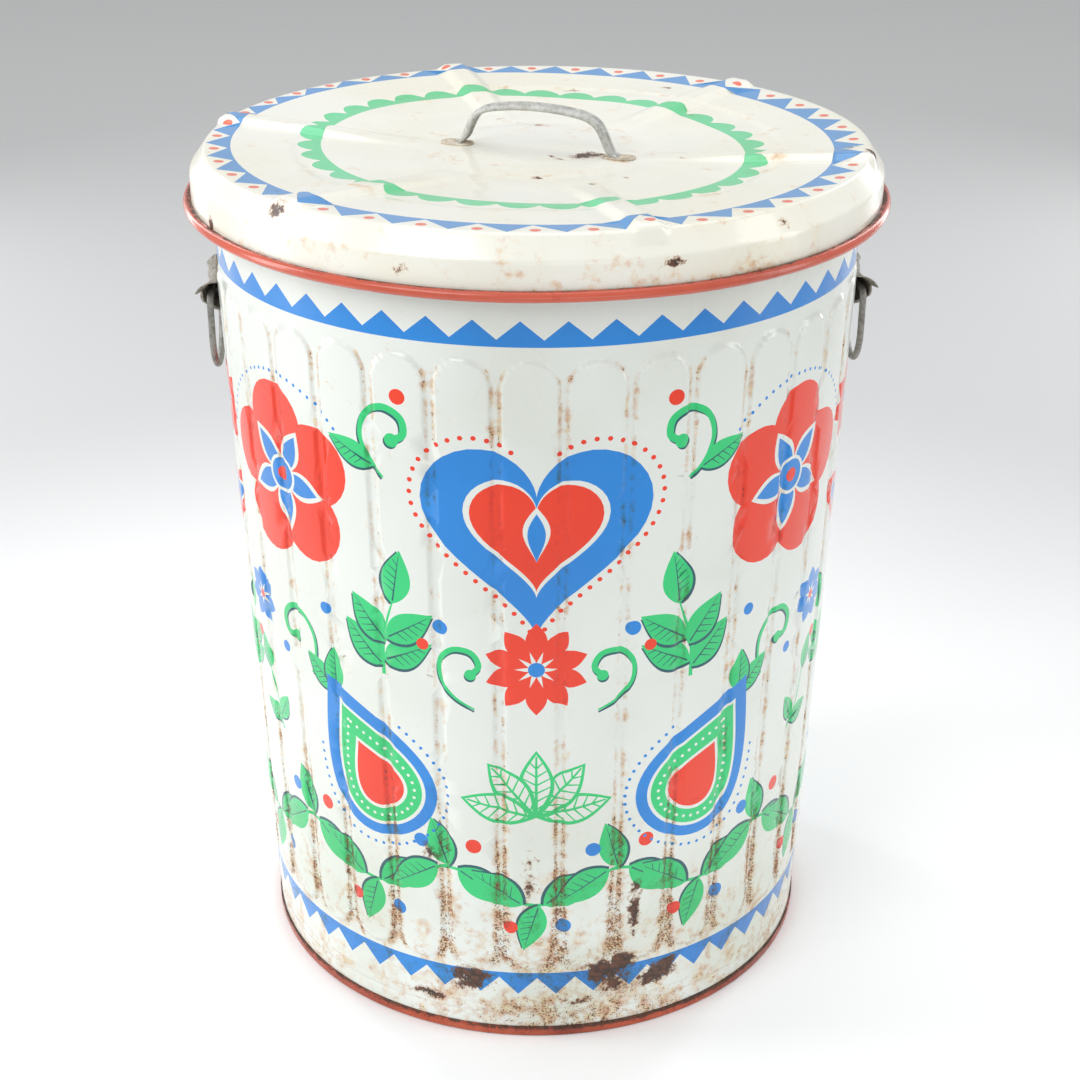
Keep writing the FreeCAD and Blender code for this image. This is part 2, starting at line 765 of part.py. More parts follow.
bail_body = doc.addObject("PartDesign::Body", "bail_wire")
bail_plane = pivot_radius + d.bail_reach
top_run = d.bail_half_width - d.bail_corner_radius
corner_height = d.pivot_height - d.bail_corner_radius
leg_foot = d.pivot_height - d.bail_leg
bail_path = new_sketch(bail_body, "bail_path", "XZ_Plane", bail_plane)
draw(bail_path, [
    (d.bail_joint_gap / 2, d.pivot_height),
    *round_corners((top_run, corner_height), d.bail_corner_radius, 90, 0, 3),
    *round_corners((zero, leg_foot), d.bail_half_width, 0, -180, 8),
    *round_corners((-top_run, corner_height), d.bail_corner_radius, 180, 90, 3),
    (-d.bail_joint_gap / 2, d.pivot_height),
], closed=False)
bail_section = new_sketch(bail_body, "bail_section", "YZ_Plane", d.bail_joint_gap / 2)
draw(bail_section, round_corners((-bail_plane, d.pivot_height), d.bail_wire_radius, 22.5, 382.5, 8)[:-1])
bail_pipe = bail_body.newObject("PartDesign::AdditivePipe", "bail_pipe")
bail_pipe.Profile = bail_section
bail_pipe.Spine = (bail_path, [])
bail_pipe.Transition = "Right corner"

subparts = [
    can_wall, can_bottom, foot_hoop, lid_shell, lid_handle, lid_rivets, ear_rivets,
]
for side, angle in ear_angles.items():
    subparts.append(turned_copy(f"ear_{side}", [ear_form], angle))
    subparts.append(turned_copy(f"bail_{side}", [bail_body], angle))

doc.recompute()

# Check every object, then write each sub-part

for item in doc.Objects:
    if "Invalid" in item.State or "Error" in item.State:
        raise SystemExit(f"{item.Name} failed: {item.State}")
for item in subparts:
    if item.Shape.isNull() or not item.Shape.isValid():
        raise SystemExit(f"{item.Label} has no valid shape")
os.makedirs("parts", exist_ok=True)
for item in subparts:
    item.Shape.exportStep(f"parts/{item.Label}.step")
    box = item.Shape.BoundBox
    print(f"{item.Label}: {len(item.Shape.Solids)} solids, {item.Shape.Volume:.0f} mm3, top {box.ZMax:.1f} mm")
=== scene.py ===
import math
import random

import bmesh
import bpy
import numpy as np
from mathutils import Matrix, Vector
from mathutils.geometry import delaunay_2d_cdt


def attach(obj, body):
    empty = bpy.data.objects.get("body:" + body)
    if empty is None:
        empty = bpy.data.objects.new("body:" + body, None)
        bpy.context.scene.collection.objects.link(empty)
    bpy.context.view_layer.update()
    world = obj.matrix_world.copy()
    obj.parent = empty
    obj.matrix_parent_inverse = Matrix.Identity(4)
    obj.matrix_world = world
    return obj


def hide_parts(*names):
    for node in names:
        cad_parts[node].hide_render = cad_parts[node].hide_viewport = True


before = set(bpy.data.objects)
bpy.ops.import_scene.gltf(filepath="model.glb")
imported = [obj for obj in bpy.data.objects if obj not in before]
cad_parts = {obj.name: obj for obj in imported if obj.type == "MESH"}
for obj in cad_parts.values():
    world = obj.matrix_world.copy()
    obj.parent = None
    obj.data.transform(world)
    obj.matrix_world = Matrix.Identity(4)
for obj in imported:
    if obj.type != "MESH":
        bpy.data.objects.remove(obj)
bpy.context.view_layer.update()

# Painted steel can with a lift-off lid. Sizes are in millimetres, angles in degrees from the
# front (-Y), growing towards +X. Shaders, lights and the camera are in metres.

mm = 0.001
for leftover in ("Cube", "Light", "Camera"):
    if leftover in bpy.data.objects:
        bpy.data.objects.remove(bpy.data.objects[leftover])
print("frame loaded")


# Small helpers for meshes

def newPiece(name, verts, faces, body, node, materials, faceMaterials=None):
    # a smooth piece that rides on its body and takes the place of its CAD node
    mesh = bpy.data.meshes.new(name)
    mesh.from_pydata([tuple(v) for v in verts], [], [tuple(f) for f in faces])
    for material in materials:
        mesh.materials.append(material)
    if faceMaterials is not None:
        mesh.polygons.foreach_set("material_index", list(faceMaterials))
    mesh.polygons.foreach_set("use_smooth", [True] * len(mesh.polygons))
    mesh.update()
    piece = bpy.data.objects.new(name, mesh)
    bpy.context.scene.collection.objects.link(piece)
    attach(piece, body)
    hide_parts(node)
    return piece


def around(angle, radius, height):
    turn = np.radians(angle)
    return np.stack([radius * np.sin(turn), -radius * np.cos(turn), height + 0 * turn], axis=-1) * mm


def smoothStep(value):
    value = np.clip(value, 0, 1)
    return value * value * (3 - 2 * value)


def turnedRings(profile, columns, closedProfile=False):
    # vertices and faces of a profile of (radius, height) turned about the axis
    verts, faces = [], []
    count = len(profile)
    for column in range(columns):
        turn = 2 * math.pi * column / columns
        for radius, height in profile:
            verts.append((radius * math.sin(turn) * mm, -radius * math.cos(turn) * mm, height * mm))
    for column in range(columns):
        here, there = column * count, (column + 1) % columns * count
        for row in range(count if closedProfile else count - 1):
            after = (row + 1) % count
            faces.append((here + row, there + row, there + after, here + after))
    return verts, faces


def arcPoints(centre, radius, first, last, steps):
    points = []
    for step in range(steps + 1):
        angle = math.radians(first + (last - first) * step / steps)
        points.append((centre[0] + radius * math.cos(angle), centre[1] + radius * math.sin(angle)))
    return points


def gridFaces(rows, columns, start=0, wrap=False, flip=False):
    faces = []
    for row in range(rows - 1):
        for column in range(columns if wrap else columns - 1):
            after = (column + 1) % columns
            corners = (start + row * columns + column, start + row * columns + after,
                       start + (row + 1) * columns + after, start + (row + 1) * columns + column)
            faces.append(corners[::-1] if flip else corners)
    return faces


def capFaces(base, count, flip=False):
    # closes a loop of points with quads from one of its sides to the other
    last = base + count - 1
    quads = [(base + k, base + k + 1, last - 1 - k, last - k) for k in range(count // 2 - 1)]
    return [quad[::-1] for quad in quads] if flip else quads


def turnedBy(turn, x, y):
    return x * math.cos(turn) - y * math.sin(turn), x * math.sin(turn) + y * math.cos(turn)


def inMetres(points):
    return [tuple(c * mm for c in point) for point in points]


def unit(vectors):
    return vectors / np.linalg.norm(vectors, axis=-1, keepdims=True)


def angleApart(first, second):
    return (np.asarray(first) - second + 180) % 360 - 180


def fixNormals(piece):
    mesh = bmesh.new()
    mesh.from_mesh(piece.data)
    bmesh.ops.recalc_face_normals(mesh, faces=mesh.faces[:])
    mesh.to_mesh(piece.data)
    mesh.free()


# Sizes of the can wall, which its finish uses too

canForm = {
    "foot": 200.4,
    "taper": 18.5 / 580.8,
    "sheet": 0.9,
    "top": 577.5,
    "rim": (222.2, 580.8, 4.0),     # radius and height of the roll's middle, radius of the roll
    "rimEnds": (218.1, 218.95),     # radii at which the roll runs into the sheet, inside and outside
    "flutes": 33,
    "firstFlute": 9.755,        # angle of the middle of a panel
    "relief": 1.5,      # how far a panel stands out, and its rounding on top of that
    "crown": 0.12,
    "valley": 5.0,
    "flank": (0.9, 3.4),        # how far outside its outline a panel starts to rise, and over what width
    "fluteTop": 511.0,
    "fluteFoot": 58.0,
    "scores": (17.3, 24.5),     # heights of the score lines
    "scoreDepth": 0.4,
    "scoreWidth": 0.75,
    "seam": 178.85,     # angle of the lapped seam, which stands out by the lap
    "lap": 0.8,
    "lapHalf": 2.5,
    "lapEnds": (15.5, 569.5),
    # no dents where the ears sit: their turn, how far to the side and from which height, with its fade
    "earTurn": 2.0,
    "quietBeside": (26, 8),
    "quietAbove": (425, 20),
    "flat": 210.0,      # radius at which the painted sheet is drawn flat
    "cut": -90.0,       # angle where the flat sheet begins and ends
}
pitch = 2 * math.pi / canForm["flutes"]


def wallRadius(height):
    return canForm["foot"] + canForm["taper"] * height


def panelHalf(height):
    return wallRadius(height) * pitch / 2 - canForm["valley"] / 2


# heights at which the arched top and foot of a panel spring from its straight sides
springs = {
    "fluteTop": canForm["fluteTop"] - panelHalf(canForm["fluteTop"]),
    "fluteFoot": canForm["fluteFoot"] + panelHalf(canForm["fluteFoot"]),
}


# Shader groups that the finishes share

def newGroup(name, inputs, outputs):
    group = bpy.data.node_groups.new(name, "ShaderNodeTree")
    for label, kind, value in inputs:
        socket = group.interface.new_socket(name=label, in_out="INPUT", socket_type=kind)
        socket.default_value = value
    for label, kind in outputs:
        group.interface.new_socket(name=label, in_out="OUTPUT", socket_type=kind)
    return group, group.nodes.new("NodeGroupInput"), group.nodes.new("NodeGroupOutput")


class Wiring:
    # short ways to add and join nodes in one tree
    def __init__(self, tree):
        self.tree = tree

    def set(self, socket, value):
        if isinstance(value, bpy.types.NodeSocket):
            self.tree.links.new(value, socket)
        else:
            socket.default_value = value

    def add(self, kind, **values):
        node = self.tree.nodes.new(kind)
        for key, value in values.items():
            setattr(node, key, value)
        return node

    def put(self, node, **values):
        for name, value in values.items():
            self.set(node.inputs[name.replace("_", " ")], value)
        return node

    def place(self):
        return self.add("ShaderNodeTexCoord").outputs["Object"]

    def group(self, tree):
        return self.add("ShaderNodeGroup", node_tree=tree)

    def math(self, operation, first, second=0.0, clamp=False):
        node = self.add("ShaderNodeMath", operation=operation, use_clamp=clamp)
        self.set(node.inputs[0], first)
        self.set(node.inputs[1], second)
        return node.outputs[0]

    def plus(self, first, second, clamp=False):
        return self.math("ADD", first, second, clamp)

    def minus(self, first, second):
        return self.math("SUBTRACT", first, second)

    def times(self, first, second):
        return self.math("MULTIPLY", first, second)

    def fit(self, value, low, high, outLow=0.0, outHigh=1.0):
        node = self.add("ShaderNodeMapRange", interpolation_type="SMOOTHSTEP")
        for socket, entry in zip(node.inputs, (value, low, high, outLow, outHigh)):
            self.set(socket, entry)
        return node.outputs[0]

    def noise(self, vector, scale, detail=4.0, rough=0.6, distort=0.0):
        node = self.add("ShaderNodeTexNoise")
        self.put(node, Vector=vector, Scale=scale, Detail=detail, Roughness=rough, Distortion=distort)
        return node.outputs["Fac"]

    def mix(self, share, first, second, blend="MIX"):
        node = self.add("ShaderNodeMix", data_type="RGBA", blend_type=blend)
        self.set(node.inputs[0], share)
        self.set(node.inputs[6], first)
        self.set(node.inputs[7], second)
        return node.outputs[2]


def colour(red, green, blue):
    # from screen values 0 to 255 to the shader's linear ones
    def linear(value):
        value /= 255
        return value / 12.92 if value <= 0.04045 else ((value + 0.055) / 1.055) ** 2.4
    return (linear(red), linear(green), linear(blue), 1.0)


def rustSpeckle():
    # brown pits with a tan halo, where the spread value lets them grow
    group, entry, out = newGroup(
        "rustSpeckle",
        [("Spread", "NodeSocketFloat", 0.3), ("Fine", "NodeSocketFloat", 720.0),
         ("Coarse", "NodeSocketFloat", 60.0)],
        [("Pits", "NodeSocketFloat"), ("Halo", "NodeSocketFloat"), ("Shade", "NodeSocketFloat")],
    )
    w = Wiring(group)
    place = w.place()
    fine = w.noise(place, entry.outputs["Fine"], 3.0, 0.7)
    coarse = w.noise(place, entry.outputs["Coarse"], 5.0, 0.65, 0.4)
    middle = w.noise(place, w.times(entry.outputs["Coarse"], 4.0), 3.0, 0.6)
    ragged = w.plus(w.times(fine, 0.6), w.times(coarse, 0.2))
    ragged = w.plus(ragged, w.times(middle, 0.2))
    spread = w.math("MINIMUM", entry.outputs["Spread"], 0.66)
    need = w.minus(0.86, w.times(spread, 0.52))
    w.set(out.inputs["Pits"], w.fit(ragged, w.minus(need, 0.008), w.plus(need, 0.018)))
    soft = w.plus(w.times(coarse, 0.7), w.times(middle, 0.3))
    w.set(out.inputs["Halo"], w.fit(soft, w.minus(need, 0.17), w.plus(need, 0.06)))
    w.set(out.inputs["Shade"], fine)
    return group


def wornPaint():
    # enamel with rust, flaked patches and stains: colour, roughness and height out of three wear amounts
    group, entry, out = newGroup(
        "wornPaint",
        [("Paint", "NodeSocketColor", (1, 1, 1, 1)), ("Stain", "NodeSocketColor", (1, 1, 1, 1)),
         ("Rust", "NodeSocketFloat", 0.2), ("Flakes", "NodeSocketFloat", 0.0),
         ("Grime", "NodeSocketFloat", 0.2)],
        [("Color", "NodeSocketColor"), ("Roughness", "NodeSocketFloat"), ("Height", "NodeSocketFloat")],
    )
    w = Wiring(group)
    place = w.place()
    speckle = w.group(rustGroup)
    w.set(speckle.inputs["Spread"], entry.outputs["Rust"])
    scratch = w.noise(place, 160.0, 6.0, 0.65)
    uneven = w.fit(w.noise(place, 9.0, 3.0, 0.5), 0.35, 0.7, 0.0, 1.0)
    stained = w.times(uneven, entry.outputs["Grime"])
    paint = w.mix(stained, entry.outputs["Paint"], entry.outputs["Stain"], "MULTIPLY")
    tan = w.mix(w.fit(scratch, 0.36, 0.64), colour(246, 216, 172), colour(216, 142, 78))
    paint = w.mix(w.times(speckle.outputs["Halo"], 0.85), paint, tan, "MULTIPLY")
    brown = w.mix(w.fit(speckle.outputs["Shade"], 0.46, 0.62), colour(160, 92, 48), colour(66, 38, 26))
    paint = w.mix(w.times(speckle.outputs["Pits"], 0.92), paint, brown)
    ragged = w.times(w.minus(w.noise(place, 130.0, 6.0, 0.78), 0.5), 1.7)
    edge = w.plus(entry.outputs["Flakes"], ragged)
    flaked = w.fit(edge, 0.5, 0.54)
    lip = w.times(w.fit(edge, 0.36, 0.5), w.minus(1.0, flaked))
    bare = w.mix(w.fit(w.noise(place, 260.0, 5.0, 0.7), 0.4, 0.64), colour(50, 34, 26), colour(100, 60, 40))
    paint = w.mix(w.times(lip, 0.6), paint, colour(196, 140, 84), "MULTIPLY")
    paint = w.mix(flaked, paint, bare)
    w.set(out.inputs["Color"], paint)
    rough = w.plus(0.2, w.times(uneven, 0.1))
    rusted = w.math("MAXIMUM", speckle.outputs["Pits"], flaked)
    rough = w.plus(rough, w.times(rusted, 0.55))
    rough = w.plus(rough, w.times(speckle.outputs["Halo"], 0.14), clamp=True)
    w.set(out.inputs["Roughness"], rough)
    lift = w.times(rusted, w.minus(speckle.outputs["Shade"], 0.75))
    lift = w.plus(lift, w.times(w.noise(place, 26.0, 2.0, 0.5), 0.25))
    w.set(out.inputs["Height"], lift)
    return group


rustGroup = rustSpeckle()
paintGroup = wornPaint()


def attributeOf(w, name):
    return w.add("ShaderNodeAttribute", attribute_name=name, attribute_type="GEOMETRY").outputs["Fac"]


def fluteEdge():
    # how near a place is to the outline of an arched panel, in metres, from the same sizes as the wall
    group, entry, out = newGroup(
        "fluteEdge",
        [("Width", "NodeSocketFloat", 0.0021), ("Wander", "NodeSocketFloat", 0.0012)],
        [("Line", "NodeSocketFloat"), ("Halo", "NodeSocketFloat")],
    )
    w = Wiring(group)
    place = w.place()
    split = w.add("ShaderNodeSeparateXYZ")
    w.set(split.inputs[0], place)
    x, y, z = split.outputs

    def radiusAt(height):
        return w.plus(w.times(height, canForm["taper"]), canForm["foot"] * mm)
    wander = w.times(w.minus(w.noise(place, 70.0, 4.0, 0.7), 0.5), entry.outputs["Wander"])
    angle = w.math("ARCTAN2", x, w.times(y, -1.0))
    share = w.math("DIVIDE", w.minus(angle, math.radians(canForm["firstFlute"])), pitch)
    near = w.minus(share, w.math("ROUND", share))
    across = w.times(w.times(near, pitch), radiusAt(z))
    level = w.math("MAXIMUM", w.math("MINIMUM", z, springs["fluteTop"] * mm), springs["fluteFoot"] * mm)
    half = w.minus(w.times(radiusAt(level), pitch / 2), canForm["valley"] / 2 * mm)
    rise = w.minus(z, level)
    length = w.math("SQRT", w.plus(w.times(across, across), w.times(rise, rise)))
    apart = w.math("ABSOLUTE", w.plus(w.minus(half, length), wander))
    # the arched tops and feet of the panels rust much less than their long sides
    flank = w.fit(w.math("ABSOLUTE", w.math("DIVIDE", across, half)), 0.5, 0.9, 0.12, 1.0)
    width = entry.outputs["Width"]
    w.set(out.inputs["Line"], w.times(w.fit(apart, width, w.times(width, 0.25)), flank))
    # the stain beside the line fades towards the top of the can
    low = w.fit(z, 0.3, 0.07, 0.6, 1.0)
    w.set(out.inputs["Halo"], w.times(w.times(w.fit(apart, 0.0062, 0.0012), flank), low))
    return group


fluteGroup = fluteEdge()


def wornEnamel(name, paint, stain, coat=0.5, coatRough=0.06, fluted=False, bumpDepth=0.0006):
    # glossy enamel in one colour, worn by what the mesh says at each place
    material = bpy.data.materials.new(name)
    material.use_nodes = True
    w = Wiring(material.node_tree)
    shader = w.tree.nodes["Principled BSDF"]
    rust = attributeOf(w, "rust")
    if fluted:
        edge = w.group(fluteGroup)
        # the line of rust along a panel comes and goes
        patchy = w.fit(w.noise(w.place(), 34.0, 3.0, 0.7), 0.34, 0.62, 0.45, 1.0)
        along = w.times(edge.outputs["Line"], patchy)
        rust = w.plus(rust, w.times(along, 0.23))
        rust = w.plus(rust, w.times(edge.outputs["Halo"], 0.24))
    worn = w.put(w.group(paintGroup), Paint=colour(*paint), Stain=colour(*stain), Rust=rust,
                 Flakes=attributeOf(w, "flakes"), Grime=attributeOf(w, "grime"))
    bump = w.put(w.add("ShaderNodeBump"), Strength=0.35, Distance=bumpDepth, Height=worn.outputs["Height"])
    w.put(shader, Base_Color=worn.outputs["Color"], Roughness=worn.outputs["Roughness"],
          Normal=bump.outputs["Normal"], Coat_Weight=coat, Coat_Roughness=coatRough)
    return material


# screen colours of the paint and of its stain
wallColours = {
    "white": ((228, 232, 226), (228, 228, 216)),
    "blue": ((14, 132, 216), (196, 208, 220)),
    "orange": ((238, 52, 6), (222, 196, 170)),
    "green": ((36, 204, 120), (200, 214, 186)),
    "teal": ((18, 86, 96), (200, 208, 200)),
}
lidColours = {
    "cream": ((243, 242, 232), (240, 234, 212)),
    "blue": ((84, 150, 212), (222, 222, 214)),
    "orange": ((240, 118, 92), (226, 206, 180)),
    "green": ((104, 214, 154), (216, 222, 196)),
}
wallEnamels = [wornEnamel("wall" + tint.title(), *pair, fluted=True) for tint, pair in wallColours.items()]
lidEnamels = [wornEnamel("lid" + tint.title(), *pair) for tint, pair in lidColours.items()]
insideEnamel = wornEnamel("insideEnamel", (206, 206, 196), (196, 178, 144), 0.15, 0.2)
beadRed = wornEnamel("beadRed", (208, 92, 68), (176, 146, 122), 0.25, 0.15, bumpDepth=0.0004)
hoopRed = wornEnamel("hoopRed", (186, 84, 54), (160, 128, 104), 0.15, 0.2, bumpDepth=0.0005)


def zinc(name, light, dark, rust, roughness, metallic):
    # weathered galvanised steel with spangle and a little rust
    material = bpy.data.materials.new(name)
    material.use_nodes = True
    w = Wiring(material.node_tree)
    shader = w.tree.nodes["Principled BSDF"]
    place = w.place()
    grain = w.put(w.add("ShaderNodeTexVoronoi"), Vector=place, Scale=330.0)
    clouds = w.noise(place, 120.0, 5.0, 0.65)
    tone = w.plus(w.times(grain.outputs["Distance"], 0.35), w.times(clouds, 0.8))
    metal = w.mix(w.fit(tone, 0.3, 0.75), colour(*dark), colour(*light))
    speckle = w.put(w.group(rustGroup), Spread=rust)
    pits = speckle.outputs["Pits"]
    metal = w.mix(w.times(speckle.outputs["Halo"], 0.6), metal, colour(150, 112, 76), "MULTIPLY")
    bump = w.put(w.add("ShaderNodeBump"), Strength=0.25, Distance=0.0004, Height=tone)
    w.put(shader, Base_Color=w.mix(pits, metal, colour(96, 54, 32)), Normal=bump.outputs["Normal"],
          Metallic=w.times(metallic, w.minus(1.0, pits)), Roughness=w.plus(roughness, w.times(tone, 0.2)))
    return material


zincGrey = zinc("zincGrey", (198, 198, 193), (158, 158, 153), 0.32, 0.42, 0.5)
zincDull = zinc("zincDull", (170, 165, 154), (112, 108, 100), 0.46, 0.52, 0.35)
zincWire = zinc("zincWire", (152, 150, 144), (104, 102, 98), 0.34, 0.4, 0.55)
zincRusty = zinc("zincRusty", (220, 212, 196), (184, 168, 146), 0.5, 0.6, 0.2)
print("finishes ready")


# Painted shapes. Each is a (colour, outline) pair drawn flat, in millimetres.

def placed(shapes, across, up, turn=0.0, size=1.0, mirror=False):
    cosine, sine = math.cos(math.radians(turn)), math.sin(math.radians(turn))
    result = []
    for tint, outline in shapes:
        moved = []
        for x, y in outline:
            x, y = x * size * (-1 if mirror else 1), y * size
            moved.append((across + x * cosine - y * sine, up + x * sine + y * cosine))
        result.append((tint, moved))
    return result


def disc(tint, radius, x=0.0, y=0.0, points=18):
    turns = [2 * math.pi * k / points for k in range(points)]
    return (tint, [(x + radius * math.cos(turn), y + radius * math.sin(turn)) for turn in turns])


def stroke(tint, line, widths):
    # a brush stroke of changing width along a line of points
    left, right = [], []
    for index, point in enumerate(line):
        before, after = line[max(index - 1, 0)], line[min(index + 1, len(line) - 1)]
        dx, dy = after[0] - before[0], after[1] - before[1]
        length = math.hypot(dx, dy) or 1.0
        share = index / (len(line) - 1)
        half = np.interp(share, np.linspace(0, 1, len(widths)), widths) / 2
        left.append((point[0] - dy / length * half, point[1] + dx / length * half))
        right.append((point[0] + dy / length * half, point[1] - dx / length * half))
    return (tint, left + right[::-1])


def curve(points, steps=10):
    # a smooth line through given points
    line = []
    count = len(points)
    for index in range(count - 1):
        p = [points[min(max(index + k, 0), count - 1)] for k in (-1, 0, 1, 2)]
        for step in range(steps):
            t = step / steps
            line.append(tuple(
                0.5 * (2 * b + (c - a) * t + (2 * a - 5 * b + 4 * c - d) * t * t
                       + (3 * b - a - 3 * c + d) * t ** 3)
                for a, b, c, d in zip(*p)))
    return line + [points[-1]]


outlinePoints = 64


def heartOutline(width):
    outline = []
    for k in range(outlinePoints):
        t = 2 * math.pi * k / outlinePoints
        x = 16 * math.sin(t) ** 3
        y = 13 * math.cos(t) - 5 * math.cos(2 * t) - 2 * math.cos(3 * t) - math.cos(4 * t)
        outline.append((x * width / 32, y * width / 32))
    return outline


def petalOutline(length, width, points=20, tip=1.5):
    # a drop shape that starts at the origin and points up
    outline = []
    for k in range(points + 1):
        t = k / points
        outline.append((width / 2 * math.sin(math.pi * t ** tip), length * t))
    back = [(-x, y) for x, y in outline[-2:0:-1]]
    return outline + back


def leaf(length, width):
    # a veined leaf with a dark edge on one side
    blade = petalOutline(length, width, 14, 0.8)
    shapes = [("teal", [(x + width * 0.09, y - width * 0.05) for x, y in blade]), ("green", blade)]
    shapes.append(stroke("teal", [(0, length * share) for share in (0.06, 0.5, 0.9)], (1.1, 0.7, 0.3)))
    for k in range(1, 6):
        base = length * (0.12 + 0.12 * k)
        reach = width * 0.4 * math.sin(math.pi * min(0.16 + 0.13 * k, 0.95) ** 0.8)
        shapes.append(stroke("teal", [(0, base), (reach, base + length * 0.09)], (0.75, 0.4)))
    return shapes


def dotLine(tint, line, spacing, radius):
    shapes, travelled, due = [], 0.0, 0.0
    for (x, y), (endX, endY) in zip(line, line[1:]):
        run = math.hypot(endX - x, endY - y)
        while due <= travelled + run:
            share = (due - travelled) / run
            shapes.append(disc(tint, radius, x + (endX - x) * share, y + (endY - y) * share, 8))
            due += spacing
        travelled += run
    return shapes


def scroll(width=5.0):
    # a green stem that leans over and rolls up into a bud, with a darker edge below
    line = curve([(0, 0), (7, 14), (8, 30), (0, 43), (-13, 46), (-23, 38), (-22, 27), (-13, 24)], 8)
    x, y = line[-1]
    widths = (width * 0.3, width * 0.9, width)
    return [stroke("teal", [(x + 1.3, y - 1.2) for x, y in line], widths),
            disc("teal", width * 0.95, x + 1.2, y - 1.1, 16),
            stroke("green", line, widths), disc("green", width * 0.95, x, y, 16)]


def rosette(petals, radius, petalTint, heartTint):
    # slender petals round a small heart, each moved out by a gap
    petal = petalOutline(radius * 0.86, radius * 2.1 * math.pi / petals * 0.62, 12, 1.25)
    gap = radius * 0.14
    shapes = []
    for k in range(petals):
        turn = math.radians(360 * k / petals)
        out = (-gap * math.sin(turn), gap * math.cos(turn))
        shapes += placed([(petalTint, petal)], *out, 360 * k / petals)
    return shapes + [disc(heartTint, radius * 0.16, points=16)]


def loveHeart():
    # large heart in three layers with a dotted border and a crown of petals
    shapes = [("blue", heartOutline(128)), ("white", heartOutline(80)), ("orange", heartOutline(73))]
    drop = [("white", petalOutline(34, 15, 12, 1.2)), ("blue", petalOutline(30, 10, 12, 1.2))]
    shapes += placed(drop, 0, -20)
    border = [(x * 1.1, y * 1.1 + 1.5) for x, y in heartOutline(128)]
    return shapes + dotLine("orange", border[6:-5], 7.2, 1.5)


def windFlower():
    # open blossom: five round petals, a blue star and a dotted rim
    shapes = []
    for k in range(5):
        turn = math.radians(72 * k)
        shapes.append(disc("orange", 24, -31 * math.sin(turn), 31 * math.cos(turn), 26))
    point = [("white", petalOutline(34, 17, 10, 1.0)), ("blue", petalOutline(30, 12, 10, 1.0))]
    for k in range(5):
        shapes += placed(point, 0, 0, 72 * k + 36)
    shapes += [disc("white", 11.5), disc("blue", 9.5), disc("orange", 4.2)]
    return shapes + dotLine("blue", arcPoints((0, 0), 61, 20, 164, 48), 5.6, 1.1)


def dropOutline(length, width):
    # a round drop with its tip up
    outline = []
    for k in range(outlinePoints):
        turn = 2 * math.pi * k / outlinePoints
        across = width * 0.66 * math.sin(turn) * abs(math.sin(turn / 2)) ** 1.25
        outline.append((across, length / 2 * math.cos(turn)))
    return outline


def bigDrop():
    # a large drop in three colours with a beaded band, a leaf at its tip and dots round it
    def layer(length, width, lower):
        return [(x, y - lower) for x, y in dropOutline(length, width)]
    shapes = placed(leaf(34, 17), 0, 48, -18) + placed(leaf(34, 17), 0, 48, 30)
    shapes += [("blue", layer(124, 88, 0)), ("white", layer(98, 71, 5)), ("green", layer(92, 66, 5.6)),
               ("white", layer(56, 43, 13)), ("orange", layer(50, 38, 13.6))]
    shapes += dotLine("white", layer(74, 54, 9.5) + layer(74, 54, 9.5)[:1], 6.0, 1.2)
    return shapes + dotLine("blue", layer(142, 103, -2)[14:-13], 6.6, 1.3)


def sprig(leaves=3, length=30, width=15):
    shapes = [stroke("green", curve([(0, 0), (3, 24), (0, 52)], 8), (2.6, 2.0, 1.0))]
    for k in range(leaves):
        up = 6 + k * 16
        shapes += placed(leaf(length, width), 1, up, -52 + 6 * k)
        shapes += placed(leaf(length, width), 1, up + 4, 52 - 6 * k, mirror=True)
    return shapes + placed(leaf(length, width), 0, 50)


def fan():
    # five outlined leaves spread like a fan
    shapes = []
    for turn in (-76, -38, 0, 38, 76):
        blade = petalOutline(46, 21, 14, 0.95)
        inner = [(x * 0.78, 3.6 + y * 0.86) for x, y in blade]
        fanned = [("green", blade), ("white", inner), stroke("green", [(0, 2), (0, 42)], (2.0, 1.2))]
        for k in range(1, 7):
            for side in (1, -1):
                reach = 8.4 * math.sin(math.pi * (0.12 + 0.12 * k))
                fanned.append(stroke("green", [(0, 5.6 * k), (side * reach, 5.6 * k + 4.6)], (1.2, 0.8)))
        shapes += placed(fanned, 0, 0, turn)
    return shapes


def smallHeart():
    return [("orange", heartOutline(44)), ("white", heartOutline(26)), ("blue", heartOutline(21))]


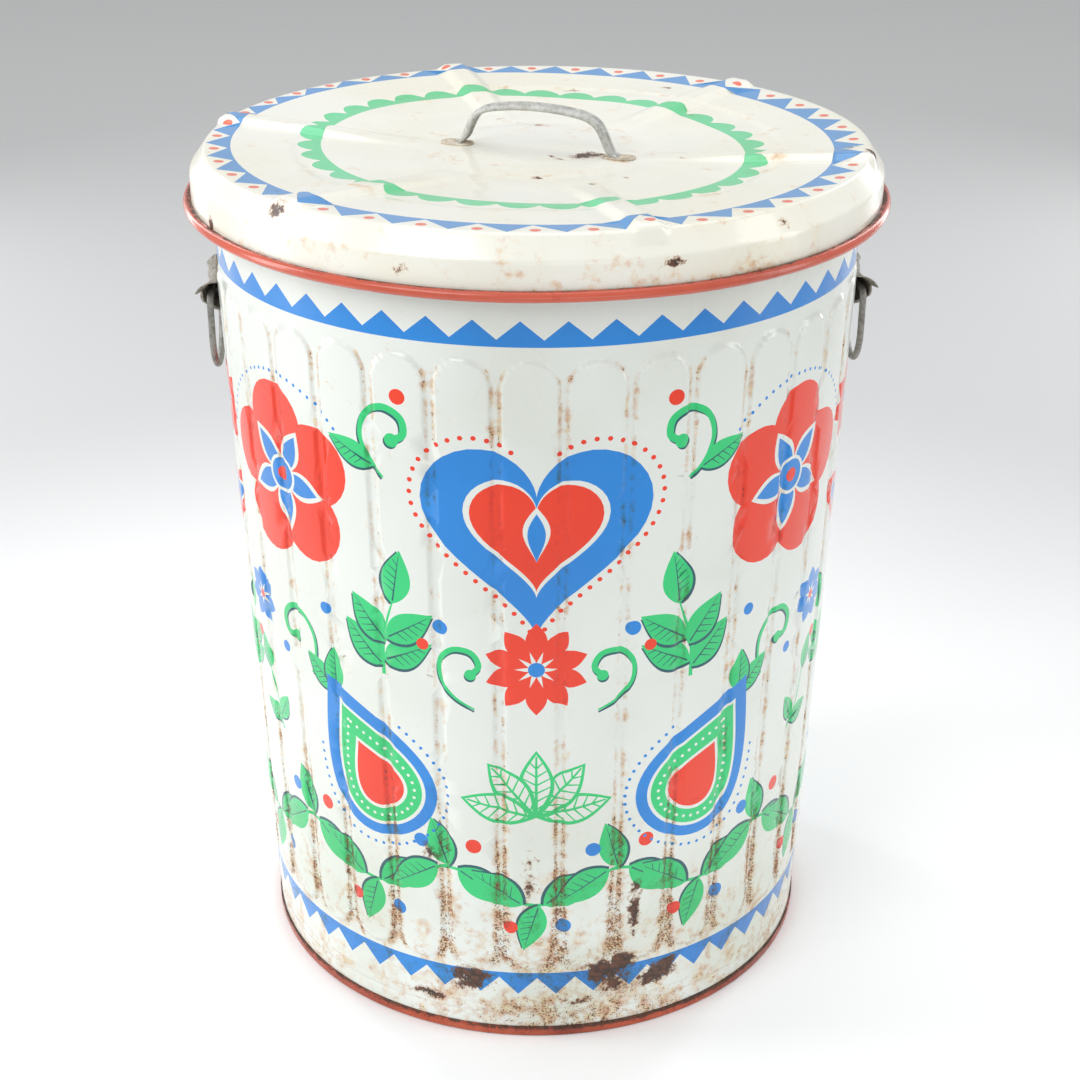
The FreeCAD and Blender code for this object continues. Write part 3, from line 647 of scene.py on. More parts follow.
def paintedPanel():
    # one side of the can: heart above, blossoms beside it, drops and sprigs below
    shapes = placed(loveHeart(), 0, 400, 0, 1.12)
    # motif, distance from the middle, height, turn and size
    beside = [
        (windFlower(), 184, 404, -8, 1.16), (scroll(), 96, 426, -14, 1.0), (leaf(36, 17), 103, 432, -64, 1.0),
        ([disc("orange", 5.2)], 84, 482, 0, 1.0), (rosette(8, 30, "orange", "blue"), 283, 424, 10, 1.0),
        (smallHeart(), 276, 356, -10, 1.0), (sprig(2, 36, 19), 104, 282, 10, 1.12),
        (scroll(4.4), 40, 268, -34, 0.95), ([disc("blue", 5.2)], 62, 326, 0, 1.0),
        ([disc("orange", 4.2)], 74, 312, 0, 1.0), ([disc("blue", 4.4)], 150, 318, 0, 1.0),
        (placed(scroll(4.4), 0, 0, mirror=True), 168, 262, -8, 1.0), (bigDrop(), 122, 214, -30, 1.0),
        (rosette(7, 21, "blue", "orange"), 232, 296, 0, 1.0), (sprig(2, 30, 16), 268, 222, 8, 1.0),
        (sprig(1, 30, 16), 214, 196, -20, 0.9), ([disc("orange", 4.4)], 244, 262, 0, 1.0),
        ([disc("blue", 4.2)], 198, 270, 0, 1.0),
    ]
    for side in (1, -1):
        for motif, across, up, turn, size in beside:
            shapes += placed(motif, side * across, up, side * turn, size, side < 0)
    shapes += placed(rosette(10, 34, "orange", "blue"), 0, 300)
    return shapes + placed(fan(), 0, 186, 0, 1.15)


def wavyVine(perimeter, height, waves):
    # a vine that runs right round the can, with leaves and berries in its bends
    wave = perimeter / waves
    steps, swing = 16, 13
    line = [(-perimeter / 2 + perimeter * k / (waves * steps),
             height + swing * math.sin(2 * math.pi * k / steps)) for k in range(waves * steps + 1)]
    shapes = [stroke("green", line, (2.6, 2.6))]
    # for the crests and the troughs: turns of the leaves, then tint, size and place of each berry
    bends = ((1, (124, -124, 16), -2, (("orange", 5.6, 17, 20), ("blue", 5.4, -21, 18))),
             (-1, (56, -56, 164), 2, (("blue", 5.6, 19, 18), ("orange", 5.2, -18, 19))))
    for k in range(waves):
        for up, turns, third, berries in bends:
            x = -perimeter / 2 + wave * (k + 0.5 - 0.25 * up)
            y = height + swing * up
            shapes += placed(leaf(46, 23), x - 9, y, turns[0])
            shapes += placed(leaf(46, 23), x + 5, y, turns[1], mirror=True)
            shapes += placed(leaf(40, 20), x + third, y, turns[2])
            for tint, size, across, beyond in berries:
                shapes.append(disc(tint, size, x + across, y + beyond * up))
    return shapes


def insideOutline(points, outline):
    # which points lie inside an outline, by how often it winds round them
    turns = np.zeros(len(points), int)
    ahead = np.roll(outline, -1, axis=0)
    for (x0, y0), (x1, y1) in zip(outline, ahead):
        side = (x1 - x0) * (points[:, 1] - y0) - (points[:, 0] - x0) * (y1 - y0)
        turns += (y0 <= points[:, 1]) & (y1 > points[:, 1]) & (side > 0)
        turns -= (y0 > points[:, 1]) & (y1 <= points[:, 1]) & (side < 0)
    return turns != 0


def imprintedSheet(columns, rows, extraPoints, shapes, tints, defaultTint):
    # cuts the painted shapes into a flat sheet of triangles and says which colour each has
    drawn = {(round(x), round(y)) for tint, outline in shapes for x, y in outline}
    inner = [(x, y) for x in columns[1:-1] for y in rows] + list(extraPoints)
    points = [(x, y) for x in columns[:1] + columns[-1:] for y in rows]
    points += [(x, y) for x, y in inner if (round(x), round(y)) not in drawn or y in (rows[:1] + rows[-1:])]
    edges = []
    if columns:
        edges = [(first + k, first + k + 1) for first in (0, len(rows)) for k in range(len(rows) - 1)]
    for tint, outline in shapes:
        start, count = len(points), len(outline)
        points += outline
        edges += [(start + k, start + (k + 1) % count) for k in range(count)]
    verts, _, faces, _, _, _ = delaunay_2d_cdt([Vector(p) for p in points], edges, [], 0, 1e-4, False)
    flat = np.array([(v.x, v.y) for v in verts])
    faces = np.array([tuple(face) for face in faces if len(face) == 3])
    middles = flat[faces].mean(axis=1)
    if columns:
        within = (middles[:, 0] > columns[0]) & (middles[:, 0] < columns[-1])
        faces, middles = faces[within], middles[within]
    order = {tint: index for index, tint in enumerate(tints)}
    marks = np.full(len(faces), order[defaultTint])
    ranked = np.argsort(middles[:, 0])
    sortedX = middles[ranked, 0]
    for tint, outline in shapes:
        outline = np.array(outline)
        first, last = np.searchsorted(sortedX, [outline[:, 0].min(), outline[:, 0].max()])
        near = ranked[first:last]
        level = middles[near, 1]
        near = near[(level > outline[:, 1].min()) & (level < outline[:, 1].max())]
        marks[near[insideOutline(middles[near], outline)]] = order[tint]
    used, faces = np.unique(faces, return_inverse=True)
    return flat[used], [tuple(face) for face in faces.reshape(-1, 3).tolist()], marks.tolist()


def facingOut(verts, faces, normals, first):
    # turns the faces after the flat sheet's own so that they agree with the normals at their corners
    turned = list(faces[:first])
    for face in faces[first:]:
        a, b, c = verts[face[0]], verts[face[1]], verts[face[2]]
        u, v = b - a, c - a
        n = normals[face[0]]
        agrees = ((u[1] * v[2] - u[2] * v[1]) * n[0] + (u[2] * v[0] - u[0] * v[2]) * n[1]
                  + (u[0] * v[1] - u[1] * v[0]) * n[2])
        turned.append(face[::-1] if agrees < 0 else face)
    return turned


def markWear(piece, rust, flakes, grime):
    for name, values in (("rust", rust), ("flakes", flakes), ("grime", grime)):
        layer = piece.data.attributes.new(name, "FLOAT", "POINT")
        layer.data.foreach_set("value", np.ascontiguousarray(values, dtype=np.float32))


class SheetParts:
    # gathers the parts of one piece: points, normals, faces, materials and wear at each point
    def __init__(self):
        self.verts, self.normals, self.faces, self.kinds, self.wear = [], [], [], [], []
        self.count = 0

    def add(self, verts, normals, faces, kinds, *wear):
        self.faces += [tuple(self.count + i for i in face) for face in faces]
        self.kinds += kinds if isinstance(kinds, list) else [kinds] * len(faces)
        self.verts.append(verts)
        self.normals.append(normals)
        self.wear.append(np.stack([np.broadcast_to(value, len(verts)) for value in wear]))
        self.count += len(verts)

    def finish(self, name, body, node, materials, painted):
        verts, normals = np.vstack(self.verts), np.vstack(self.normals)
        faces = facingOut(verts, self.faces, normals, painted)
        piece = newPiece(name, verts, faces, body, node, materials, self.kinds)
        markWear(piece, *np.concatenate(self.wear, axis=1))
        piece.data.normals_split_custom_set_from_vertices(normals)
        print(name + ":", len(verts), "points,", len(faces), "faces")


def scatteredDents(seed, count, levels, sizes, depths):
    # angle, level, size and depth of random dents, some inwards and some outwards
    random.seed(seed)
    dents = []
    for _ in range(count):
        where, level, size = random.uniform(-180, 180), random.uniform(*levels), random.uniform(*sizes)
        dents.append((where, level, size, random.choice((-1, 1)) * random.uniform(*depths)))
    return dents


def flakesAt(spots, angle, level, radius, start):
    # strength of the bare patches, each an oval of soft edge
    flakes = np.zeros_like(start)
    for where, middle, wide, high, strength in spots:
        gap = np.radians(angleApart(angle, where)) * radius
        apart = (gap / wide) ** 2 + ((level - middle) / high) ** 2
        flakes = np.maximum(flakes, strength * np.exp(-0.7 * apart))
    return flakes


print("motifs ready")


# Can wall: fluted, painted sheet

wallDents = scatteredDents(7, 60, (60, 520), (14, 46), (0.12, 0.38))


def panelDepth(angle, height):
    # how far inside the nearest arched panel a place is; negative in the valleys
    share = np.radians(angle - canForm["firstFlute"]) / pitch
    across = (share - np.round(share)) * pitch * wallRadius(height)
    level = np.clip(height, springs["fluteFoot"], springs["fluteTop"])
    half = panelHalf(level)
    return half - np.hypot(across, height - level), across / half


def wallForm(angle, height, lapped=True):
    f = canForm
    depth, across = panelDepth(angle, height)
    raised = smoothStep((depth + f["flank"][0]) / f["flank"][1])
    radius = wallRadius(height) + f["relief"] * raised
    radius += raised * f["crown"] * (1 - np.clip(across, -1, 1) ** 2)
    for line in f["scores"]:
        radius -= f["scoreDepth"] * np.exp(-((height - line) / f["scoreWidth"]) ** 2)
    if lapped:
        beside = np.abs(np.radians(angleApart(angle, f["seam"])) * wallRadius(height))
        low, high = f["lapEnds"]
        length = smoothStep((height - low) / 2) * smoothStep((high - height) / 2)
        radius += f["lap"] * smoothStep((f["lapHalf"] - beside) / 0.8) * length
    # the wall has no dents where the ears sit
    besideEar = np.abs(np.abs(angleApart(angle, f["earTurn"])) - 90)
    (reach, fade), (lowest, rising) = f["quietBeside"], f["quietAbove"]
    quiet = 1 - smoothStep((reach - besideEar) / fade) * smoothStep((height - lowest) / rising)
    for where, level, size, deep in wallDents:
        gap = np.radians(angleApart(angle, where)) * f["flat"]
        radius += deep * quiet * np.exp(-(gap ** 2 / size ** 2 + (height - level) ** 2 / (size * 1.7) ** 2))
    return radius


def wallPlace(angle, height):
    return around(angle, wallForm(angle, height), height)


def slopeNormals(place, first, second, stepFirst, stepSecond):
    along = place(first + stepFirst, second) - place(first - stepFirst, second)
    across = place(first, second + stepSecond) - place(first, second - stepSecond)
    return unit(np.cross(along, across))


sheetLeft = math.radians(canForm["cut"]) * canForm["flat"]
sheetWidth = 2 * math.pi * canForm["flat"]


def wallColumns():
    # places across the flat sheet, close together at the flanks of the panels and at the seam
    spots = []
    for flute in range(-canForm["flutes"], canForm["flutes"] + 1):
        middle = (math.radians(canForm["firstFlute"]) + flute * pitch) * canForm["flat"]
        for offset in (0, 5, 9.5, 12.8, 14.8, 16, 17, 18, 19):
            spots += [middle - offset, middle + offset]
        spots.append(middle + 19.99)
    seamAt = math.radians(canForm["seam"]) * canForm["flat"]
    spots += [seamAt + offset for offset in (-3.2, -2.5, -1.9, 1.9, 2.5, 3.2)]
    right = sheetLeft + sheetWidth
    kept = [sheetLeft]
    for spot in sorted(s for s in spots if sheetLeft + 0.6 < s < right - 0.6):
        if spot - kept[-1] > 0.45:
            kept.append(spot)
    return kept + [right]


# heights of the rows, close together at the score lines and at the ends of the panels
wallRows = ([0, 8, 15.3, 16.4, 17.3, 18.2, 20.5, 22.8, 23.7, 24.5, 25.3, 27, 33, 41, 50, 54.6, 55.6]
            + [56.6 + 1.6 * k for k in range(14)] + [84 + 21.2 * k for k in range(18)]
            + [462 + 6 * k for k in range(3)] + [478.5 + 1.75 * k for k in range(21)]
            + [519.4, 529, 541, 553, 565, canForm["top"]])

# the bands: number of teeth, angle of a tip, heights of the straight edge, the valleys and the tips
canPaint = {
    "bands": ((48, 4.92, 519.4, 524.0, 536.0), (48, 3.97, 54.6, 50.2, 36.0)),
    "vineHeight": 127.0,
    "vineWaves": 11,
}


def canShapes():
    right = sheetLeft + sheetWidth
    shapes = []
    for teeth, tipAngle, straight, valley, tip in canPaint["bands"]:
        step = sheetWidth / teeth
        first = math.radians(tipAngle) * canForm["flat"]
        edge = []
        for k in range(-teeth, 2 * teeth):
            for x, height in ((first + k * step, tip), (first + (k + 0.5) * step, valley)):
                if sheetLeft + 0.05 < x < right - 0.05:
                    edge.append((x, height))
        phase = ((sheetLeft - first) / step) % 1.0
        atCut = valley + (tip - valley) * abs(2 * phase - 1)
        ends = [(right, atCut), (right, straight), (sheetLeft, straight)]
        shapes.append(("blue", [(sheetLeft, atCut)] + edge + ends))
    vine = wavyVine(sheetWidth, canPaint["vineHeight"], canPaint["vineWaves"])
    panel = paintedPanel()
    shapes += placed(vine, sheetLeft + sheetWidth / 2, 0) + panel + placed(panel, sheetWidth / 2, 0)
    # what crosses the join of the sheet is drawn at both of its ends
    whole = []
    for tint, outline in shapes:
        low, high = min(x for x, y in outline), max(x for x, y in outline)
        if high - low > sheetWidth / 2:
            whole.append((tint, outline))
            continue
        for shift in (-sheetWidth, 0, sheetWidth):
            if high + shift > sheetLeft and low + shift < right:
                whole.append((tint, [(x + shift, y) for x, y in outline]))
    return whole


# places where the paint has flaked off: angle, height, half width, half height, strength
wallFlakes = [
    (-13, 47, 17, 9, 0.9), (13.5, 52, 15, 10, 0.9), (17, 58, 12, 9, 0.85), (15.5, 39, 16, 8, 0.7),
    (24, 40, 18, 8, 0.92), (27, 47, 10, 6, 0.8), (19, 108, 5, 26, 0.85), (-20, 150, 9, 9, 0.6),
    (-22, 27, 14, 5, 0.7), (8, 29, 10, 5, 0.62), (-1, 128, 6, 34, 0.55), (120, 60, 20, 10, 0.8),
    (150, 40, 24, 8, 0.8), (-140, 56, 18, 12, 0.8), (-110, 45, 14, 9, 0.7), (-160, 90, 8, 22, 0.6),
    (172, 120, 9, 12, 0.6),
]


def wallWear(angle, height):
    # rust, bare patches and grime; most of it low on the front
    lower = smoothStep((215 - height) / 190)
    front = 0.5 + 0.5 * np.cos(np.radians(angleApart(angle, 12)))
    rust = 0.17 + 0.15 * lower + 0.19 * lower * front ** 2 + 0.06 * smoothStep((40 - height) / 30)
    rust += 0.05 * np.sin(np.radians(angle) * 5 + 1) * lower
    return rust, flakesAt(wallFlakes, angle, height, 205, rust), 0.35 + 0.4 * lower


def rolledRim(columns):
    # the roll at the top of the wall, with normals that look away from its middle
    top = canForm["top"]
    radius, height, roll = canForm["rim"]
    inner, outer = canForm["rimEnds"]
    loop = [(inner, top - 2)] + arcPoints((radius, height), roll, 180, -120, 18) + [(outer, top - 1.5)]
    verts, faces = turnedRings(loop, columns)
    verts = np.array(verts)
    loops = verts.reshape(columns, -1, 3)
    tangent = np.roll(loops, -1, axis=1) - np.roll(loops, 1, axis=1)
    tangent[:, 0] = loops[:, 1] - loops[:, 0]
    tangent[:, -1] = loops[:, -1] - loops[:, -2]
    side = np.cross(np.broadcast_to([0, 0, 1.0], tangent.shape), loops)
    normals = unit(np.cross(side, tangent).reshape(-1, 3))
    middles = around(np.repeat(np.arange(columns) * 360 / columns, len(loop)), radius, height)
    if np.mean(np.sum(normals * (verts - middles), axis=1)) < 0:
        normals = -normals
    return verts, normals, [face[::-1] for face in faces]


def makeCanWall():
    sheet, rimColumns = canForm["sheet"], 264
    inside = len(wallColours)
    columns = wallColumns()
    flat, faces, marks = imprintedSheet(columns, wallRows, [], canShapes(), list(wallColours), "white")
    angle, height = np.degrees(flat[:, 0] / canForm["flat"]), flat[:, 1]
    # join the two ends of the sheet
    joined = np.arange(len(flat))
    atLeft = np.flatnonzero(np.abs(flat[:, 0] - columns[0]) < 1e-3)
    for i in np.flatnonzero(np.abs(flat[:, 0] - columns[-1]) < 1e-3):
        gaps = np.abs(flat[atLeft, 1] - flat[i, 1])
        if gaps.min() < 0.02:
            joined[i] = atLeft[gaps.argmin()]
    faces = [tuple(int(joined[i]) for i in face) for face in faces]
    # joining can leave a face without area
    whole = [len(set(face)) == 3 for face in faces]
    faces, marks = ([entry for entry, good in zip(entries, whole) if good] for entries in (faces, marks))
    parts = SheetParts()
    parts.add(wallPlace(angle, height), slopeNormals(wallPlace, angle, height, 0.06, 0.25), faces, marks,
              *wallWear(angle, height))
    # inner side
    ringAngles = np.arange(0, 360, 360 / (canForm["flutes"] * 10)) + canForm["firstFlute"]
    levels = np.array([0, 20, 40, 56, 62, 68, 76, 120, 180, 240, 300, 360, 420, 465, 480, 488, 494, 500, 505,
                       509, 513, 530, 555, canForm["top"]], float)
    angle, height = (grid.ravel() for grid in np.meshgrid(ringAngles, levels))

    def innerPlace(a, h):
        return around(a, wallForm(a, h, False) - sheet, h)
    parts.add(innerPlace(angle, height), -slopeNormals(innerPlace, angle, height, 0.06, 0.25),
              gridFaces(len(levels), len(ringAngles), 0, True, True), inside,
              0.3 + 0.25 * smoothStep((90 - height) / 80), 0.0, 0.9)
    # rolled rim at the top and the plain cut edge at the foot
    parts.add(*rolledRim(rimColumns), inside, 0.5, 0.12, 0.8)
    foot = np.vstack([around(ringAngles, wallRadius(0) - sheet, 0.0), around(ringAngles, wallRadius(0), 0.0)])
    parts.add(foot, np.tile([0, 0, -1.0], (len(foot), 1)), gridFaces(2, len(ringAngles), 0, True, True),
              inside, 0.5, 0.1, 0.8)
    parts.finish("canWall", "can", "can_wall", wallEnamels + [insideEnamel], len(marks))


makeCanWall()


# Bottom pan and foot hoop

panForm = {"radius": 199.4, "sheet": 0.9, "floor": 18.0, "corner": 4.0, "rings": (150, 90, 40, 6)}


def makePan():
    r, t, z, c = (panForm[key] for key in ("radius", "sheet", "floor", "corner"))
    middle = (r - c, z - c)
    section = [(r - t, 0.3), (r - t * 0.5, 0), (r, 0.4)] + arcPoints(middle, c, 0, 90, 6)
    section += [(ring, z) for ring in panForm["rings"]] + [(ring, z - t) for ring in panForm["rings"][::-1]]
    verts, faces = turnedRings(section + arcPoints(middle, c - t, 90, 0, 6), 132, True)
    piece = newPiece("canBottom", verts, faces, "can", "can_bottom", [zincDull])
    # small discs close the middle of the pan, where the rings end
    mesh = bmesh.new()
    mesh.from_mesh(piece.data)
    for level, up in ((z, True), (z - t, False)):
        ring = [v for v in mesh.verts if abs(v.co.z - level * mm) < 1e-6
                and abs(math.hypot(v.co.x, v.co.y) - panForm["rings"][-1] * mm) < 1e-6]
        ring.sort(key=lambda v: math.atan2(v.co.y, v.co.x))
        mesh.faces.new(ring if up else ring[::-1]).smooth = True
    mesh.to_mesh(piece.data)
    mesh.free()


makePan()

hoopForm = {"inner": 200.7, "outer": 201.6, "height": 7.4, "soft": 0.4, "wave": 0.12}


def makeHoop():
    inner, outer, high, soft = (hoopForm[key] for key in ("inner", "outer", "height", "soft"))
    section = [(inner, 0.3), (inner + 0.3, 0), (outer - soft, 0), (outer - 0.1, 0.12), (outer, soft)]
    section += [(outer, high * share) for share in (0.25, 0.5, 0.75)]
    section += [(outer, high - soft), (outer - 0.12, high - 0.1), (outer - soft, high), (inner + 0.1, high),
                (inner, high - 0.3)]
    verts, faces = turnedRings(section, 330, True)
    verts = np.array(verts)
    turn = np.arctan2(verts[:, 0], -verts[:, 1])
    # its upper edge wanders a little
    verts[:, 2] += hoopForm["wave"] * mm * np.sin(turn * 7 + 1) * (verts[:, 2] > 4 * mm)
    piece = newPiece("footHoop", verts, faces, "can", "foot_hoop", [hoopRed])
    level = verts[:, 2] / mm
    flakes = 0.22 + 0.42 * smoothStep((level - 3.5) / 2.5) + 0.08 * np.sin(turn * 3)
    markWear(piece, 0.5 + 0.16 * smoothStep((level - 2) / 3), flakes, np.full(len(verts), 0.8))


makeHoop()
print("foot done")


# Lid: dished top, six pressed ridges, steep shoulder, skirt and a rolled bead

lidForm = {
    "outline": [(0, 581.3), (74, 581.3), (216.94, 590.3), (221.44, 590.3), (231.44, 576.4), (231.44, 556.4)],
    "softness": [0, 90, 7, 3.2, 4.0, 0],
    "sheet": 0.8,
    "ridges": 6,
    "firstRidge": 17.0,
    "crest": 5.5,
    "flank": 8.5,
    # the panels between the ridges sink in, from one distance to another, each with its fade
    "sunken": 0.7,
    "sunkenFrom": (84, 30),
    "sunkenTo": (166, 7),
    "seat": (66, 80),       # flat inside the first distance, for the handle
    "ridgeHeights": [(0, 0), (70, 0), (100, 0.5), (142, 2.6), (160, 3.4), (217, 3.8), (221, 3.5), (231.5, 0),
                     (400, 0)],
    "bead": (233.42, 556.1, 3.41),
    "beadWaves": ((0.18, 5, 0.7), (0.12, 11, 0)),       # height, number round the lid, phase
    "columns": 396,
}


def softened(points, radii):
    # rounds the corners of a profile
    line = [np.array(points[0], float)]
    for index in range(1, len(points) - 1):
        before, here, after = (np.array(points[index + k], float) for k in (-1, 0, 1))
        inward, outward = before - here, after - here
        inward, outward = inward / np.linalg.norm(inward), outward / np.linalg.norm(outward)
        corner = math.acos(np.clip(np.dot(inward, outward), -1, 1))
        longest = 0.48 * min(np.linalg.norm(before - here), np.linalg.norm(after - here))
        reach = min(radii[index] / math.tan(corner / 2), longest)
        for t in np.linspace(0, 1, 9):
            line.append((1 - t) ** 2 * (here + inward * reach) + 2 * t * (1 - t) * here
                        + t * t * (here + outward * reach))
    line.append(np.array(points[-1], float))
    return np.array(line)


lidLine = softened(lidForm["outline"], lidForm["softness"])
lidRun = np.concatenate([[0], np.cumsum(np.linalg.norm(np.diff(lidLine, axis=0), axis=1))])
# radius and height at even steps along the profile, and its direction there, smoothed
dense = np.linspace(0, lidRun[-1], 1600)
denseLine = np.stack([np.interp(dense, lidRun, lidLine[:, k]) for k in (0, 1)], axis=1)
ridgeStep = 360 / lidForm["ridges"]
kernel = np.hanning(15) / np.hanning(15).sum()
slopes = np.gradient(denseLine, axis=0).T
slopes = [np.convolve(np.pad(side, 7, mode="edge"), kernel, "valid") for side in slopes]
tangents = unit(np.stack(slopes, axis=1))
lidDents = scatteredDents(11, 34, (95, 196), (16, 42), (0.2, 0.75))


def ridgeRise(angle, run):
    rise = np.zeros_like(run)
    tall = np.interp(run, *zip(*lidForm["ridgeHeights"]))
    for number in range(lidForm["ridges"]):
        apart = np.radians(angleApart(angle, lidForm["firstRidge"] + ridgeStep * number))
        across = np.abs(np.sin(apart)) * run + np.where(np.abs(apart) > 1.2, 1e3, 0)
        share = np.clip((lidForm["crest"] + lidForm["flank"] - across) / lidForm["flank"], 0, 1)
        rise = np.maximum(rise, tall * (0.45 * share + 0.55 * smoothStep(share)))
    return rise


def lidPlace(x, y, below=0.0):
    run = np.hypot(x, y)
    turn = np.arctan2(x, -y)
    radius, height = (np.interp(run, dense, denseLine[:, k]) for k in (0, 1))
    outX = -np.interp(run, dense, tangents[:, 1])
    outZ = np.interp(run, dense, tangents[:, 0])
    rise = ridgeRise(np.degrees(turn), run)
    (first, opening), (last, closing) = lidForm["sunkenFrom"], lidForm["sunkenTo"]
    sunken = smoothStep((last - run) / closing) * smoothStep((run - first) / opening)
    sunken = sunken * (1 - smoothStep(rise / 2.0))
    rise = rise - lidForm["sunken"] * sunken
    for where, far, size, deep in lidDents:
        dx, dy = x - far * math.sin(math.radians(where)), y + far * math.cos(math.radians(where))
        rise = rise + deep * np.exp(-(dx * dx + dy * dy) / size ** 2)
    # the lid is flat under its handle
    low, high = lidForm["seat"]
    rise = rise * np.where(run < high, smoothStep((run - low) / (high - low)), 1) - below
    return around(np.degrees(turn), radius + outX * rise, height + outZ * rise)


lidPaint = {
    "teeth": 40, "toothTip": 4.9, "ring": 201.0, "gullet": 202.6, "tooth": 219.4,
    "dotAngle": 0.4, "dotRadius": 213.6, "dotSize": 3.5,
    "scallops": 36, "scallopInner": 142.0, "scallopValley": 148.0, "scallopTip": 158.0,
    # shift to the side and lean of each ring, as the paint sits askew on the pressing
    "askew": {"tooth": (-1.5, 0.012), "gullet": (-4, 0.03), "dot": (-2.5, 0.02), "ring": (-4, 0.035),
              "scallop": (-4, 0.1)},
}


def lidShapes():
    p = lidPaint

    def polar(radius, angle, part):
        turn = math.radians(angle)
        shift, lean = p["askew"][part]
        x, y = radius * math.sin(turn), -radius * math.cos(turn)
        return (x + shift, y - lean * x)

    def plain(radius, part):
        return ("cream", [polar(radius, 3 * k, part) for k in range(120)])
    step = 360 / p["teeth"]
    star, dots = [], []
    for k in range(p["teeth"]):
        star.append(polar(p["tooth"], p["toothTip"] + k * step, "tooth"))
        star.append(polar(p["gullet"], p["toothTip"] + (k + 0.5) * step, "gullet"))
        far = p["dotRadius"] - 1.5 * math.cos(math.radians(p["dotAngle"] + k * step + 140))
        x, y = polar(far, p["dotAngle"] + k * step, "dot")
        dots.append(disc("orange", p["dotSize"], x, y, 12))
    shapes = [("blue", star), plain(p["ring"], "ring")] + dots
    fringe = []
    for k in range(p["scallops"]):
        for step in range(8):
            share = step / 8
            bulge = (p["scallopTip"] - p["scallopValley"]) * math.sin(math.pi * share) ** 0.75
            far = p["scallopValley"] + bulge
            fringe.append(polar(far, (k + share) * 360 / p["scallops"] + 2, "scallop"))
    return shapes + [("green", fringe), plain(p["scallopInner"], "scallop")]


# bare patches on the lid: angle, distance from the middle, half width, half depth, strength
lidFlakes = [
    (64, 37, 13, 4.6, 0.95), (73, 50, 6, 3.6, 0.8), (-1, 70, 5, 2.6, 0.8), (27, 21, 3, 2, 0.7),
    (119, 14, 4, 2, 0.6), (-179, 70, 6, 3, 0.55), (74, 100, 3.5, 2.6, 0.72), (38, 91, 2.6, 2.2, 0.7),
    (21, 96, 5, 3, 0.62), (37, 120, 5, 3, 0.55), (-162, 89, 5, 3, 0.6), (171, 159, 7, 4, 0.6),
    (148, 181, 6, 4, 0.6), (78, 222, 7, 5, 0.7), (-62, 252, 6, 5, 0.8), (-44, 226, 8, 5, 0.66),
    (40, 232, 6, 5, 0.62), (-20, 246, 6, 4, 0.6), (20, 243, 9, 4, 0.62),
]

# distances along the lid's profile at which its points lie in rings, outside and underneath
lidRings = [8, 20, 34, 48, 60, 70, 80, 92, 104, 116, 126, 134, 142, 150, 158, 163, 168, 174, 182, 190, 198,
            205, 211, 214.5, 216.5, 218, 219.5, 220.8, 222, 223.4, 225, 227, 229.5, 232, 234.5, 236.6, 238,
            239.4, 241, 244, 248, 252, 255.5, float(dense[-1])]
underRings = [6, 30, 60, 80, 100, 120, 140, 160, 175, 190, 205, 213, 217, 219.5, 221.5, 224, 228, 232, 236,
              238.5, 241, 248, float(dense[-1])]
# places across a ridge
ridgeSides = (0, 2, 4.5, 5.5, 7, 8.5, 10, 12, 14, 15)


def lidPoints():
    points = [(0.0, 0.0)]
    for ring in lidRings:
        spokes = lidForm["columns"] if ring > 180 else 198 if ring > 90 else 66 if ring > 30 else 24
        for k in range(spokes):
            turn = 2 * math.pi * k / spokes
            points.append((ring * math.sin(turn), -ring * math.cos(turn)))
    sides = [-side for side in ridgeSides[:0:-1]] + list(ridgeSides)
    for number in range(lidForm["ridges"]):
        turn = math.radians(lidForm["firstRidge"] + ridgeStep * number)
        sine, cosine = math.sin(turn), math.cos(turn)
        for along in np.concatenate([np.arange(66, 212, 4.0), np.arange(213, 233, 1.8)]):
            points += [(along * sine + across * cosine, -along * cosine + across * sine) for across in sides]
    return points


def lidWear(x, y):
    # rust, bare patches and grime; most of it at the shoulder, the bead, the handle and the ridges
    angle, run = np.degrees(np.arctan2(x, -y)), np.hypot(x, y)
    skirt = smoothStep((run - 236) / 6)
    rust = 0.25 + 0.04 * skirt + 0.12 * smoothStep((run - 250) / 8)
    rust += 0.1 * np.exp(-((run - 238.5) / 2.0) ** 2)
    rust += 0.1 * skirt * np.clip(np.sin(np.radians(angle) * 3 + 0.6), 0, 1)
    rust += 0.12 * np.exp(-((run - 62) / 16) ** 2) + 0.13 * np.exp(-((run - 164) / 4.5) ** 2)
    rust += 0.05 * smoothStep(ridgeRise(angle, run) / 2) * (1 - skirt)
    return rust, flakesAt(lidFlakes, angle, run, np.maximum(run, 20), rust), 0.45 + 0.1 * skirt


